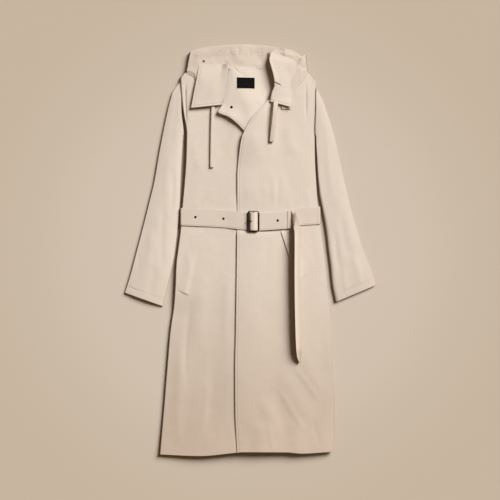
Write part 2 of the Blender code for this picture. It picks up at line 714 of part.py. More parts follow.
# ---- throat and collar ----
def make_facings(shop):
    """Turned-back facing, back neck facing, its label and snap."""
    y = column(FACING, "y")[:, None]
    free = along(FACING, "y", "free", y)
    roll = along(FACING, "y", "roll", y)
    hidden = along(FACING, "y", "hidden", y)
    share = np.linspace(0.0, 1.0, 6)
    x = free + (roll - free) * share
    shop.surface("facing_left", stacked(x, y, facing_mid(x, y)), "coat_cloth", CLOTH)
    x = roll + CLOTH / 2 + (hidden - roll - CLOTH / 2) * np.linspace(0.0, 1.0, 8)
    shop.surface("facing_neck", stacked(x, y, facing_mid(x, y)), "coat_cloth", CLOTH)

    x = LABEL_CENTRE[0] + LABEL_SIZE[0] * np.linspace(-0.5, 0.5, 8)[None, :]
    y = LABEL_CENTRE[1] + LABEL_SIZE[1] * np.linspace(-0.5, 0.5, 5)[:, None]
    z = facing_mid(x, y) + CLOTH / 2 + LAYER_GAP + LABEL_WALL
    shop.surface("neck_label", stacked(x, y, z), "label_weave", LABEL_WALL)
    z = float(facing_mid(*np.array(SNAP_CENTRE))) + CLOTH / 2 + SNAP_CLEAR
    shop.disc("throat_snap", (*SNAP_CENTRE, z), *SNAP_SIZE, "eyelet_metal")


def leaf_points(table, columns, belly):
    """Collar leaf between its outer and inner edges, with a belly between them."""
    share = np.linspace(0.0, 1.0, columns)[None, :]
    arch = belly * np.sin(np.pi * share)

    def across(axis):
        outer = column(table, "outer_" + axis)[:, None]
        inner = column(table, "inner_" + axis)[:, None]
        return outer + (inner - outer) * share

    return stacked(across("x"), across("y"), across("z") + arch)


def make_collar(shop):
    """Left leaf lying flat, right leaf standing on its stand and falling outwards."""
    shop.surface("collar_left", leaf_points(COLLAR_LEFT, 7, 0.4), "coat_cloth", CLOTH)
    shop.surface("collar_right", leaf_points(COLLAR_RIGHT, 8, 1.5), "coat_cloth", CLOTH)
    y = column(COLLAR_STAND, "y")[:, None]
    foot = column(COLLAR_STAND, "foot")[:, None]
    top = column(COLLAR_STAND, "top")[:, None]
    z = foot + (top - foot) * np.linspace(0.0, 1.0, 4)[None, :]
    shop.surface(
        "collar_stand", stacked(column(COLLAR_STAND, "x")[:, None], y, z), "coat_cloth", CLOTH
    )


# ---- hood ----
def hood_side(shop, name, table):
    """Side of the hood lying over a shoulder, down to where its cord leaves."""
    y = column(table, "y")[:, None]
    outer = column(table, "outer")[:, None]
    inner = column(table, "inner")[:, None]
    x = outer + (inner - outer) * np.linspace(0.0, 1.0, 6)[None, :]
    z = np.maximum(HOOD_SIDE_Z, front_top(x, y) + LAYER_GAP + CLOTH)
    shop.surface(name, stacked(x, y, z), "coat_cloth", CLOTH)


def make_hood(shop):
    """Folded hood past the neck: one rounded body and the drawcord tunnel on its edge."""
    hood_side(shop, "hood_side_left", HOOD_SIDE_LEFT)
    hood_side(shop, "hood_side_right", HOOD_SIDE_RIGHT)

    x = column(HOOD, "x")[:, None]
    arc = column(HOOD, "arc_y")[:, None]
    join = column(HOOD, "join_z")[:, None]
    ends = join / np.maximum(join, HOOD_SIDE_WALL)
    inner = arc - RIM_WIDTH - LAYER_GAP
    share = np.array(HOOD_SHARE)[None, :]
    on_top = np.array(HOOD_ON_TOP)[None, :]
    z = (join + (HOOD_EDGE_Z * ends - join) * step(share)) * on_top
    y = HOOD_JOIN + (inner - HOOD_JOIN) * share
    shop.loft("hood_back", stacked(x, y, z), "coat_cloth")

    y = arc - RIM_WIDTH * (1.0 - np.array(RIM_SHARE)[None, :])
    z = HOOD_EDGE_Z * RIM_SWELL * ends * np.array(RIM_HEIGHT)[None, :]
    shop.loft("hood_rim", stacked(x, y, z), "coat_cloth")

    shop.torus("hood_eyelet", HOOD_EYELET, EYELET_RING, "eyelet_metal")


def make_cord(shop, name, table, width):
    """Flat drawcord from under the collar to its free end."""
    x = column(table, "x")[:, None]
    y = column(table, "y")[:, None]
    half = width / 2.0
    across = np.array(CORD_ACROSS)[None, :] * half
    up = np.array(CORD_UP)[None, :] * CORD_THICK
    lowest = np.max(front_top(x + np.linspace(-half, half, 5)[None, :], y), axis=1)[:, None]
    z = lowest + LAYER_GAP + CORD_THICK / 2 + column(table, "z")[:, None]
    shop.loft(name, stacked(x + across, y, z + up), "drawcord_tape")


# ---- belt ----
def belt_y(x):
    """Centre line of the belt across the coat."""
    return smooth(column(BELT_LINE, "x"), column(BELT_LINE, "y"), x)


def under_belt(x):
    """Highest point of the fronts under the whole width of the belt near x."""
    dx = np.linspace(-BELT_EYE_ROOM, BELT_EYE_ROOM, 7)[:, None]
    dy = np.linspace(-0.5, 0.5, 9)[None, :] * BELT_WIDTH
    return float(np.max(front_top(x + dx, belt_y(x) + dy)))


def strap_over(x, layer):
    """Middle of a belt layer at x: layer 0 lies on the fronts, layer 1 on layer 0."""
    return under_belt(x) + LAYER_GAP + STRAP / 2 + layer * (STRAP + LAYER_GAP)


def strap_points(path, centre=belt_y):
    """Rows of points of a belt stretch from a path of x, z and its centre line."""
    x = np.array([p[0] for p in path])[:, None]
    z = np.array([p[1] for p in path])[:, None]
    y = centre(x) + np.linspace(-0.5, 0.5, 5)[None, :] * BELT_WIDTH
    return stacked(x, y, z)


def belt_back_y(x):
    """Centre line of the belt's straight run under the back."""
    ends = (BELT_LINE[0], BELT_LINE[-1])
    return np.interp(x, [p.x for p in ends], [p.y for p in ends])


def side_turn(edge_x, side):
    """Path of the belt round a side of the coat, from below up to the front."""
    out = edge_x + side * (CLOTH / 2 + LAYER_GAP + STRAP / 2)
    top = strap_over(edge_x - side * SIDE_ROLL, 0)
    rise = [(out, z) for z in TURN_LOW]
    return rise + [(out - side * dx, top - dz) for dx, dz in zip(TURN_IN, TURN_DROP)]


def make_belt(shop):
    """Belt in four stretches, its keeper and its eyelets."""
    left_edge = BODY_EDGES[BELT_ROW].left
    right_edge = BODY_EDGES[BELT_ROW].right
    reach = CLOTH / 2 + LAYER_GAP + STRAP
    x = np.linspace(left_edge - reach, right_edge + reach, 5)
    under = strap_points([(v, STRAP / 2) for v in x], belt_back_y)
    shop.surface("belt_back_run", under, "belt_cloth", STRAP)

    path = side_turn(left_edge, -1.0)
    path += [(v, strap_over(v, 0)) for v in BELT_FRONT_X]
    path += [(row.x, row.z) for row in OVER_BUCKLE]
    path += [(v, strap_over(v, 1)) for v in BELT_RIGHT_X]
    shop.surface("belt_front_run", strap_points(path), "belt_cloth", STRAP)

    path = [(row.x, row.z) for row in UNDER_BUCKLE]
    path += [(v, strap_over(v, 0)) for v in BUCKLE_RUN_X]
    path += side_turn(right_edge, 1.0)[::-1]
    shop.surface("belt_buckle_run", strap_points(path), "belt_cloth", STRAP)

    for number, (x_at, y_at) in enumerate(EYELETS, start=1):
        layer = 1 if x_at > BUCKLE_CENTRE[0] else 0
        z = strap_over(x_at, layer) + STRAP / 2 + EYELET_RING[1] + LAYER_GAP
        shop.torus("belt_eyelet_%d" % number, (x_at, y_at, z), EYELET_RING, "eyelet_metal")

    x_mid = sum(KEEPER_X) / 2
    half = BELT_WIDTH / 2 + KEEPER_CLEAR
    foot = under_belt(x_mid) + LAYER_GAP
    top = strap_over(x_mid, 1) + STRAP / 2 + KEEPER_CLEAR
    along_bend, down_bend = KEEPER_BEND
    rise = [(half, foot), (half, top - down_bend), (half - along_bend, top)]
    loop = [(-y_at, z_at) for y_at, z_at in rise] + rise[::-1]
    x = np.array(KEEPER_X)[:, None]
    y = belt_y(x) + np.array([p[0] for p in loop])[None, :]
    z = np.array([p[1] for p in loop])[None, :]
    shop.surface("belt_keeper", stacked(x, y, z), "belt_cloth", KEEPER_WALL)

    tail = tail_points()
    shop.surface("belt_tail", tail, "belt_cloth", STRAP)


def tail_points():
    """Rows across the belt's end: each is an arch over the line between its edges."""
    share = np.linspace(0.0, 1.0, 9)[None, :]
    bow = np.clip(np.sin(np.pi * share), 0.0, 1.0) ** TAIL_ROUND

    def across(axis):
        inner = column(TAIL, "inner_" + axis)[:, None]
        outer = column(TAIL, "outer_" + axis)[:, None]
        return inner + (outer - inner) * share

    z = column(TAIL, "z")[:, None] + column(TAIL, "arch")[:, None] * bow
    return stacked(across("x"), across("y"), z)


def make_buckle(shop):
    """Rounded wire frame, its middle bar and the tip of its prong."""
    half_x = BUCKLE_SIZE[0] / 2
    half_y = BUCKLE_SIZE[1] / 2
    path = []
    for sx, sy, start in ((1, 1, 0), (-1, 1, 90), (-1, -1, 180), (1, -1, 270)):
        for turn in CORNER_TURNS:
            angle = math.radians(start + turn)
            x = BUCKLE_CENTRE[0] + sx * (half_x - BUCKLE_CORNER)
            y = BUCKLE_CENTRE[1] + sy * (half_y - BUCKLE_CORNER)
            x += BUCKLE_CORNER * math.cos(angle)
            y += BUCKLE_CORNER * math.sin(angle)
            path.append((x, y, BUCKLE_Z))
    shop.wire("buckle_frame", path, BUCKLE_WIRE, "buckle_metal", closed=True)
    reach = half_y - BUCKLE_WIRE - LAYER_GAP
    bar = [
        (BUCKLE_CENTRE[0], BUCKLE_CENTRE[1] + s * reach, BUCKLE_Z) for s in (-1.0, 0.0, 1.0)
    ]
    shop.wire("buckle_bar", bar, BAR_WIRE, "buckle_metal")
    rest = BUCKLE_Z + BUCKLE_WIRE + BAR_WIRE
    prong = [(x, PRONG_Y, rest + rise) for x, rise in PRONG]
    shop.wire("buckle_prong", prong, PRONG_WIRE, "buckle_metal")


# ---- pockets ----
def make_welt(shop, name, corners, surface):
    """Slanted pocket welt lying on a front."""
    inner_top, inner_low, outer_low, outer_top = (np.array(c) for c in corners)
    down = np.linspace(0.0, 1.0, 9)[:, None, None]
    across = np.linspace(0.0, 1.0, 4)[None, :, None]
    inner = inner_top + (inner_low - inner_top) * down
    outer = outer_top + (outer_low - outer_top) * down
    plan = outer + (inner - outer) * across
    x = plan[:, :, 0]
    y = plan[:, :, 1]
    z = surface(x, y) + CLOTH + LAYER_GAP + WELT_CLEAR
    shop.surface(name, stacked(x, y, z), "coat_cloth", CLOTH)


def main():
    """Build the whole coat."""
    clear_scene()
    shop = Workshop()
    make_body(shop)
    make_sleeve(shop, "sleeve_left", SLEEVE_LEFT)
    make_sleeve(shop, "sleeve_right", SLEEVE_RIGHT)
    make_facings(shop)
    make_collar(shop)
    make_hood(shop)
    make_cord(shop, "drawcord_left", CORD_LEFT, CORD_WIDTH_LEFT)
    make_cord(shop, "drawcord_right", CORD_RIGHT, CORD_WIDTH_RIGHT)
    make_belt(shop)
    make_buckle(shop)
    make_welt(shop, "pocket_welt_left", WELT_LEFT, left_front_mid)
    make_welt(shop, "pocket_welt_right", WELT_RIGHT, right_front_mid)


main()
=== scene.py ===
"""Looks of a long hooded duster coat with its belt, laid flat on its back, front up.

World frame: +X to the right, +Y towards the hood, +Z up, the surface it lies on at z = 0.
Shapes are worked out in millimetres and become metres where a mesh is made. Left and right
are as seen from above, and the right front lies on the left one.
"""

import logging
import math
from dataclasses import dataclass
from enum import Enum

import bpy
import numpy as np
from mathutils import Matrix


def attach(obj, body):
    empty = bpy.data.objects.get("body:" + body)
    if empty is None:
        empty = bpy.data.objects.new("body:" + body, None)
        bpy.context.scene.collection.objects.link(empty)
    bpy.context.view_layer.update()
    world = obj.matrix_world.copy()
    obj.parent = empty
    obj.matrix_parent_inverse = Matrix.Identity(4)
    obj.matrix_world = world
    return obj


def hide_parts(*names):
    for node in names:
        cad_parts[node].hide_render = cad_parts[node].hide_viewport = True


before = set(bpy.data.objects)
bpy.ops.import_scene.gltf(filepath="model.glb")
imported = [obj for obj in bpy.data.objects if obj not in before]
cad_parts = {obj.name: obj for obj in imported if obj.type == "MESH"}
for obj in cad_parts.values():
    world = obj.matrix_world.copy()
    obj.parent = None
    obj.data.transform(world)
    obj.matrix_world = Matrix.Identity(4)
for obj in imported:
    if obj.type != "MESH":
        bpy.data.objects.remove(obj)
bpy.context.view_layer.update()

LOG = logging.getLogger("duster")
MM = 0.001
Array = np.ndarray
Rows = tuple[tuple[float, ...], ...]
Colour = tuple[float, float, float]
Place = tuple[float, float, float]
Span = tuple[float, float]
Zone = tuple[float, float, float, float]
Names = tuple[str, ...]
Pair = tuple[Array, Array]
Item = bpy.types.Object
Socket = bpy.types.NodeSocket

# how far rows of sewing lie inside a finished edge (mm)
EDGE_ROW = 7
CUFF_ROW = 24
BELT_ROW = 3.2
WELT_ROW = 3
# the distance written where no finished edge is near (mm)
NO_EDGE = 1e4


class Side(Enum):
    """A side of the coat, as seen from above."""

    LEFT = -1
    RIGHT = 1

    @property
    def word(self) -> str:
        """Name of the side in piece names."""
        return self.name.lower()


class Edge(Enum):
    """A border of a grid of points: its first or last row, its first or last column."""

    START = "start"
    END = "end"
    FIRST = "first"
    LAST = "last"


# ---- curves
def monotone(knots: Array, values: Array, at: Array) -> Array:
    """Cubic curve through knots that never overshoots them.

    Each stretch is the Hermite cubic of its two values and tangents; a tangent is the harmonic
    mean of the slopes on both sides, or nothing where they differ in sign.

    Args:
        knots: rising places of the knots.
        values: the curve's values there.
        at: places asked for.

    Returns:
        The curve's values at those places.
    """
    at = np.clip(at, knots[0], knots[-1])
    slope = np.diff(values) / np.diff(knots)
    tangent = np.concatenate([slope[:1], np.zeros(len(knots) - 2), slope[-1:]])
    before, after = slope[:-1], slope[1:]
    total = before + after
    harmonic = 2 * before * after / np.where(np.abs(total) < 1e-9, 1, total)
    tangent[1:-1] = np.where(before * after > 0, harmonic, 0)
    i = np.clip(np.searchsorted(knots, at, side="right") - 1, 0, len(knots) - 2)
    h = knots[i + 1] - knots[i]
    t = (at - knots[i]) / h
    keep = 2 * t**3 - 3 * t**2 + 1
    low = (t**3 - 2 * t**2 + t) * h * tangent[i]
    high = (t**3 - t**2) * h * tangent[i + 1]
    return keep * values[i] + (1 - keep) * values[i + 1] + low + high


def track(rows: Rows, at: Array, value: int, key: int = 0) -> Array:
    """Smooth curve of one column of a table against another one, its rising key column."""
    grid = np.array(rows, dtype=float)
    return monotone(grid[:, key], grid[:, value], np.asarray(at, dtype=float))


def column(rows: Rows, at: Array, value: int) -> Array:
    """Smooth curve of one column of a table, at shares of the way from first to last row."""
    grid = np.array(rows, dtype=float)
    return monotone(np.arange(len(grid)), grid[:, value], at * (len(grid) - 1))


def step(t: Array) -> Array:
    """Smooth step from 0 at t = 0 to 1 at t = 1: three t squared minus two t cubed."""
    t = np.clip(t, 0, 1)
    return t * t * (3 - 2 * t)


def between(value: Array, start: float, end: float) -> Array:
    """Smooth step from 0 at a start to 1 at an end."""
    return step((value - start) / (end - start))


def plateau(value: Array, zone: Zone) -> Array:
    """Smooth step up between a zone's first two places and down between its last two."""
    return between(value, *zone[:2]) * (1 - between(value, *zone[2:]))


def bell(distance: Array, half_width: float) -> Array:
    """Bell curve, 1 at no distance: e to the minus squared share of the half width."""
    return np.exp(-((distance / half_width) ** 2))


def quarter_round(distance: Array, radius: Array) -> Array:
    """Rise of a quarter circle, 0 at the edge and 1 from the radius on."""
    t = 1 - np.clip(distance / radius, 0, 1)
    return np.sqrt(1 - t * t)


def eased(count: int, crowding: float) -> Array:
    """Shares from 0 to 1 that crowd to both ends: t minus a part, up to 1, of a sine of a turn."""
    t = np.linspace(0, 1, count)
    return t - crowding * np.sin(2 * np.pi * t) / (2 * np.pi)


def stacked(x: Array, y: Array, z: Array) -> Array:
    """Grid of points from three arrays broadcast to one shape."""
    return np.stack(np.broadcast_arrays(x, y, z), axis=-1).astype(float)


def unit(vectors: Array) -> Array:
    """The vectors, each made one long."""
    return vectors / np.maximum(np.linalg.norm(vectors, axis=-1, keepdims=True), 1e-9)


def lengths(points: Array, axis: int) -> Array:
    """Distance run along rows or columns of points, from the first one.

    Args:
        points: grid of points.
        axis: 0 to run along rows, 1 along columns.

    Returns:
        The distance run at each point.
    """
    steps = np.linalg.norm(np.diff(points, axis=axis), axis=-1)
    start = np.zeros_like(np.take(steps, [0], axis=axis))
    return np.concatenate([start, np.cumsum(steps, axis=axis)], axis=axis)


@dataclass(frozen=True)
class Fold:
    """Soft ridge, or trough where its height is below nothing, along a bowed line (mm)."""

    x0: float
    y0: float
    x1: float
    y1: float
    half_width: float
    height: float
    bow: float = 0.0
    fade: float = 0.35
    lead: float = 0.3

    def rise(self, x: Array, y: Array) -> Array:
        """Bell curve across the line times a smooth fade at both of its ends.

        Args:
            x: places across.
            y: places along.

        Returns:
            The ridge's height at each place.
        """
        dx, dy = self.x1 - self.x0, self.y1 - self.y0
        length = math.hypot(dx, dy)
        t = ((x - self.x0) * dx + (y - self.y0) * dy) / length**2
        off = ((x - self.x0) * dy - (y - self.y0) * dx) / length
        off = off - self.bow * np.sin(np.pi * np.clip(t, 0, 1))
        ends = step(t / self.fade + self.lead) * step((1 - t) / self.fade + self.lead)
        return self.height * bell(off, self.half_width) * ends


Folds = tuple[Fold, ...]


def folded(folds: Folds, x: Array, y: Array) -> Array:
    """Sum of several folds' heights."""
    return sum((fold.rise(x, y) for fold in folds), np.zeros(np.broadcast(x, y).shape))


def sway(x: Array, y: Array) -> Array:
    """Very shallow waves of cloth that lies loose: three long sines that cross each other.

    Args:
        x: places across.
        y: places along.

    Returns:
        Heights.
    """
    first = np.sin(x / 31 + 0.9 * np.sin(y / 90)) * np.sin(y / 117 + 0.6)
    second = np.sin(x / 53 - y / 71 + 1.1)
    third = np.sin(x / 24 + y / 140 + 2.3) * np.sin(y / 63)
    return 0.32 * first + 0.28 * second + 0.16 * third


# ---- the coat's form
@dataclass(frozen=True)
class CoatForm:
    """Outlines of the coat in plan and heights of its layers, shared by its pieces (mm)."""

    cloth: float = 1.5
    strap: float = 1.8
    layer_gap: float = 0.4
    # roll of the edge on the left and right, along the side and along the armhole
    side_roll: Span = (3.2, 1.2)
    armhole_roll: Span = (5, 1.4)
    right_fall: float = 6.5
    # y, height lost towards the left edge
    left_fall: Rows = (
        (-650, 10.4), (-540, 5.6), (-440, 4), (-210, 4), (-130, 0), (120, -0.6), (200, -1.4),
        (300, -2.6), (430, -2.2), (480, 0), (577, 0),
    )
    armhole_rise: float = 5.2
    shoulder_roll: float = 12.0
    # y where the fronts' plan starts to bend to the shoulder line
    shoulder_bend: float = 477.0
    seam_rise: float = 1.6
    overlap_rise: float = 4.0
    overlap_sink: float = 1.4
    hem_lift: float = 8.5
    hem_reach: float = 180.0
    throat_rise: float = 6.2
    belt_lift: float = 2.3
    belt_width: float = 55.0
    crown_facing: float = 19.0
    low_facing: float = 5.0
    facing_fall: float = 110.0
    # how far inside the roll line the fall starts
    facing_lead: float = 10.0
    # where across the coat the crown starts to fall to its left edge
    middle: float = 40.0
    # width of the calm strip along each side seam
    calm_side: float = 40.0
    # heights on the coat where the armhole's roll and rise start and are full
    armhole_zone: Span = (356, 392)
    # zones of the belt: the hump over its back run, calm cloth under it, overlap held down
    hump: Zone = (54, 76, 142, 165)
    calm: Zone = (48, 66, 124, 140)
    held: Zone = (50, 66, 126, 205)
    held_share: float = 0.65
    # the overlap's rise at the hem, and where it is full
    hem_share: float = 0.45
    hem_zone: Span = (-640, -520)
    # distances from the right front's edge over which each front sinks and rises
    sinking: Span = (-8, 8)
    sinking_end: Span = (365, 385)
    rising: Span = (20, 170)
    # the raised throat: its spread to the right, and its zone up the coat
    throat_spread: Span = (8, 103)
    throat_zone: Zone = (262, 368, 440, 500)
    # half the length of belt that rests on one high spot
    belt_reach: float = 9.0
    # y, left edge x, right edge x
    body_edges: Rows = (
        (-650, -288.6, 266), (-516, -276.8, 271), (-375, -265.3, 263.5), (-262, -255.7, 258),
        (-176, -243.8, 253), (-118, -239.4, 247), (-47, -236.5, 240.5), (10, -229.5, 233.5),
        (64, -222.5, 226), (95, -220, 221.5), (142, -216.5, 216), (224, -209.3, 210.8),
        (288, -204.8, 207.5), (365, -203, 206.8), (458, -215.5, 210.5), (541, -221.5, 212),
        (577, -222, 211),
    )
    front_hem: Rows = (
        (-289, -652), (-164, -656), (-44, -645), (-22, -643), (117, -644), (164, -648), (272, -642),
    )
    shoulder_line: Rows = (
        (-222, 552), (-204, 569), (-150, 575), (-60, 577), (70, 577), (150, 574), (178, 570),
        (190, 561), (201, 547), (213, 531),
    )
    # y, height of the fronts' middle surface
    crown: Rows = (
        (-650, 12.8), (-400, 12.3), (-100, 11.9), (20, 11.4), (95, 11.1), (180, 11.4), (300, 11.9),
        (450, 11.4), (577, 10.6),
    )
    # y, free edge of the right front, hidden edge of the left one
    front_edges: Rows = (
        (-643, -41, 10), (-515, -46.5, 8), (-374, -47.4, 8), (-282, -45.2, 9), (-163, -43.4, 10),
        (0, -41.2, 13), (123, -40, 15), (235, -40, 15), (308, -34, 15), (357, -26, 14),
        (379, -17.3, 8), (404, -4.8, -2), (424, 7.4, -10), (453, 35.8, -21), (477, 58, -30),
        (498, 80, -42), (527, 90, -56), (550, 91, -64), (577, 88, -72),
    )
    # y, free edge, roll line and hidden edge of the throat facing
    facing: Rows = (
        (372, -13, 20, 26), (379, -18, 18.5, 33), (392, -29.4, 14.5, 42), (408, -46, 9, 52),
        (424, -68, 2.5, 64), (439, -101, -3, 73), (463, -88, -11, 84), (500, -80, -30, 92),
        (540, -72, -46, 87), (577.5, -66, -55, 80),
    )
    belt_line: Rows = (
        (-226, 106.5), (-92, 100), (-9, 91.5), (29, 90), (87, 93.5), (131, 97), (196, 106.5),
        (231, 111.5),
    )
    # main folds of the fronts
    folds: Folds = (
        Fold(72, 250, 80, 150, 12, 0.5), Fold(106, 240, 103, 155, 10, 0.4),
        Fold(-122, 200, -118, 150, 13, 0.3), Fold(96, -380, 190, -560, 30, 1.4),
        Fold(150, -300, 232, -470, 26, 1), Fold(40, -470, 92, -600, 24, 1.5),
        Fold(-150, -40, -168, -330, 26, 1.4), Fold(-215, -300, -236, -600, 20, 1.6),
        Fold(-110, -330, -128, -600, 26, -1.2),
    )
    # finer creases, which the plain solids leave out
    creases: Folds = (
        Fold(92, -440, 172, -574, 9, 0.9, 2), Fold(86, -455, 110, -600, 16, -0.5, 2),
        Fold(141, -371, 218, -480, 8, 0.7, -2), Fold(200, -545, 228, -630, 9, -0.4, 2),
        Fold(60, -560, 74, -642, 8, 0.7), Fold(40, -550, 36, -660, 28, 1.8),
        Fold(150, -540, 156, -660, 28, 1.6), Fold(-66, -80, -74, -300, 13, 0.7, 5),
        Fold(-190, -180, -206, -420, 9, -0.8, 6), Fold(-140, -420, -150, -560, 10, 0.7, -4),
        Fold(92, 228, 90, 128, 7, -0.5, 3), Fold(66, 215, 60, 132, 8, -0.3, -3),
        Fold(118, 214, 128, 130, 8, 0.2, 3), Fold(-70, 182, -62, 128, 9, 0.2),
        Fold(-150, 190, -158, 126, 9, -0.2, 3), Fold(-28, 262, -22, 150, 10, -0.2, 2),
        Fold(30, 262, 38, 160, 12, -0.3, 4), Fold(178, 196, 190, 132, 9, 0.3, -3),
        Fold(-96, 48, -92, -40, 10, -0.2, 2), Fold(60, 40, 52, -60, 10, -0.3, 3),
        Fold(196, 56, 206, -40, 9, -0.3, 3), Fold(-128, 62, -124, -10, 8, 0.2),
        Fold(-206, 536, -202, 398, 3.2, -2, 2, 0.3, 0.1),
        Fold(177.5, 548, 178, 404, 2.4, -1.6, -1.5, 0.4, 0), Fold(120, 402, 150, 300, 20, 0.8, 8),
        Fold(-60, 392, -92, 300, 16, -0.7, 6), Fold(30, 402, 52, 300, 16, -0.7, 4),
        Fold(-176, 352, -160, 250, 14, 0.7, 6),
    )

    def left(self, y: Array) -> Array:
        """Left side edge at a height on the coat."""
        return track(self.body_edges, y, 1)

    def right(self, y: Array) -> Array:
        """Right side edge at a height on the coat."""
        return track(self.body_edges, y, 2)

    def over(self, y: Array) -> Array:
        """Free edge of the right front."""
        return track(self.front_edges, y, 1)

    def under(self, y: Array) -> Array:
        """Hidden edge of the left front."""
        return track(self.front_edges, y, 2)

    def hem(self, x: Array) -> Array:
        """Hem line at a place across the coat."""
        return track(self.front_hem, x, 1)

    def shoulder(self, x: Array) -> Array:
        """Shoulder line at a place across the coat."""
        return track(self.shoulder_line, x, 1)

    def back_mid(self, y: Array) -> Array:
        """Middle of the back panel, lifted by a smooth hump where the belt runs under it."""
        return self.cloth / 2 + self.belt_lift * plateau(y, self.hump)

    def front_mid(self, x: Array, y: Array) -> Array:
        """Middle surface of both fronts: the side seams' height and a rounded share of the crown.

        The crown falls to both sides with the square of the distance, and rises to the hem so.

        Args:
            x: places across.
            y: places along.

        Returns:
            Heights.
        """
        armhole = between(y, *self.armhole_zone)
        rolls = [s + (a - s) * armhole for s, a in zip(self.side_roll, self.armhole_roll)]
        left = quarter_round(x - self.left(y), rolls[0])
        right = quarter_round(self.right(y) - x, rolls[1])
        top = quarter_round(self.shoulder(x) - y, self.shoulder_roll)
        seam = self.back_mid(y) + self.seam_rise + self.armhole_rise * armhole * top
        inside = step((x - self.left(y)) / self.calm_side) * step(
            (self.right(y) - x) / self.calm_side
        )
        loose = folded(self.creases, x, y) + sway(x, y) * inside
        crown = track(self.crown, y, 1) + folded(self.folds, x, y)
        crown = crown + loose * (1 - plateau(y, self.calm))
        leftward = np.clip((self.middle - x) / (self.middle - self.left(y)), 0, 1)
        rightward = np.clip(x / self.right(y), 0, 1)
        fall = track(self.left_fall, y, 1) * leftward**2
        crown = crown - fall - self.right_fall * rightward**2
        near_hem = np.clip((self.hem(x) + self.hem_reach - y) / self.hem_reach, 0, 1)
        crown = crown + self.hem_lift * near_hem**2
        return seam + (crown - seam) * left * right * top

    def left_mid(self, x: Array, y: Array) -> Array:
        """The left front: the shared surface, sunk by a smooth step under the right one."""
        under = between(x - self.over(y), *self.sinking) * (1 - between(y, *self.sinking_end))
        return self.front_mid(x, y) - self.overlap_sink * under

    def right_mid(self, x: Array, y: Array) -> Array:
        """The right front: the shared surface raised over the left one and over the lapel.

        Both rises are products of smooth steps across and along the coat.

        Args:
            x: places across.
            y: places along.

        Returns:
            Heights.
        """
        overlap = 1 - between(x - self.over(y), *self.rising)
        throat = (1 - between(x, *self.throat_spread)) * plateau(y, self.throat_zone)
        rise = self.overlap_rise * (1 - self.held_share * plateau(y, self.held))
        rise = rise * (self.hem_share + (1 - self.hem_share) * between(y, *self.hem_zone))
        return self.front_mid(x, y) + rise * overlap + self.throat_rise * throat

    def front_top(self, x: Array, y: Array) -> Array:
        """Upper face of whichever front shows at a place."""
        shown = np.where(x > self.over(y), self.right_mid(x, y), self.left_mid(x, y))
        return shown + self.cloth / 2

    def facing_mid(self, x: Array, y: Array) -> Array:
        """The throat facing: high where it is turned back, then a smooth fall to the back neck."""
        fall = step((x - track(self.facing, y, 2) + self.facing_lead) / self.facing_fall)
        return self.crown_facing - (self.crown_facing - self.low_facing) * fall

    def belt_y(self, x: Array) -> Array:
        """Centre line of the belt across the coat."""
        return track(self.belt_line, x, 1)

    def under_belt(self, x: Array) -> Array:
        """Highest point of the fronts under the belt's width, near each place.

        Args:
            x: places across.

        Returns:
            Heights.
        """
        near = np.asarray(x, dtype=float).reshape(-1, 1, 1)
        at = near + np.linspace(-self.belt_reach, self.belt_reach, 7)[None, :, None]
        down = self.belt_y(near) + np.linspace(-0.5, 0.5, 9)[None, None, :] * self.belt_width
        return np.max(self.front_top(at, np.broadcast_to(down, (len(near), 7, 9))), axis=(1, 2))

    def belt_mid(self, x: Array, layer: int) -> Array:
        """Middle of a belt layer: layer 0 lies on the fronts, layer 1 on layer 0."""
        lowest = self.under_belt(x) + self.layer_gap + self.strap / 2
        return lowest + layer * (self.strap + self.layer_gap)


FORM = CoatForm()


# ---- meshes
@dataclass(frozen=True)
class Cut:
    """Size a sheet was cut to before it was laid: width, length and area (m, m, square m)."""

    width: float
    length: float
    area: float


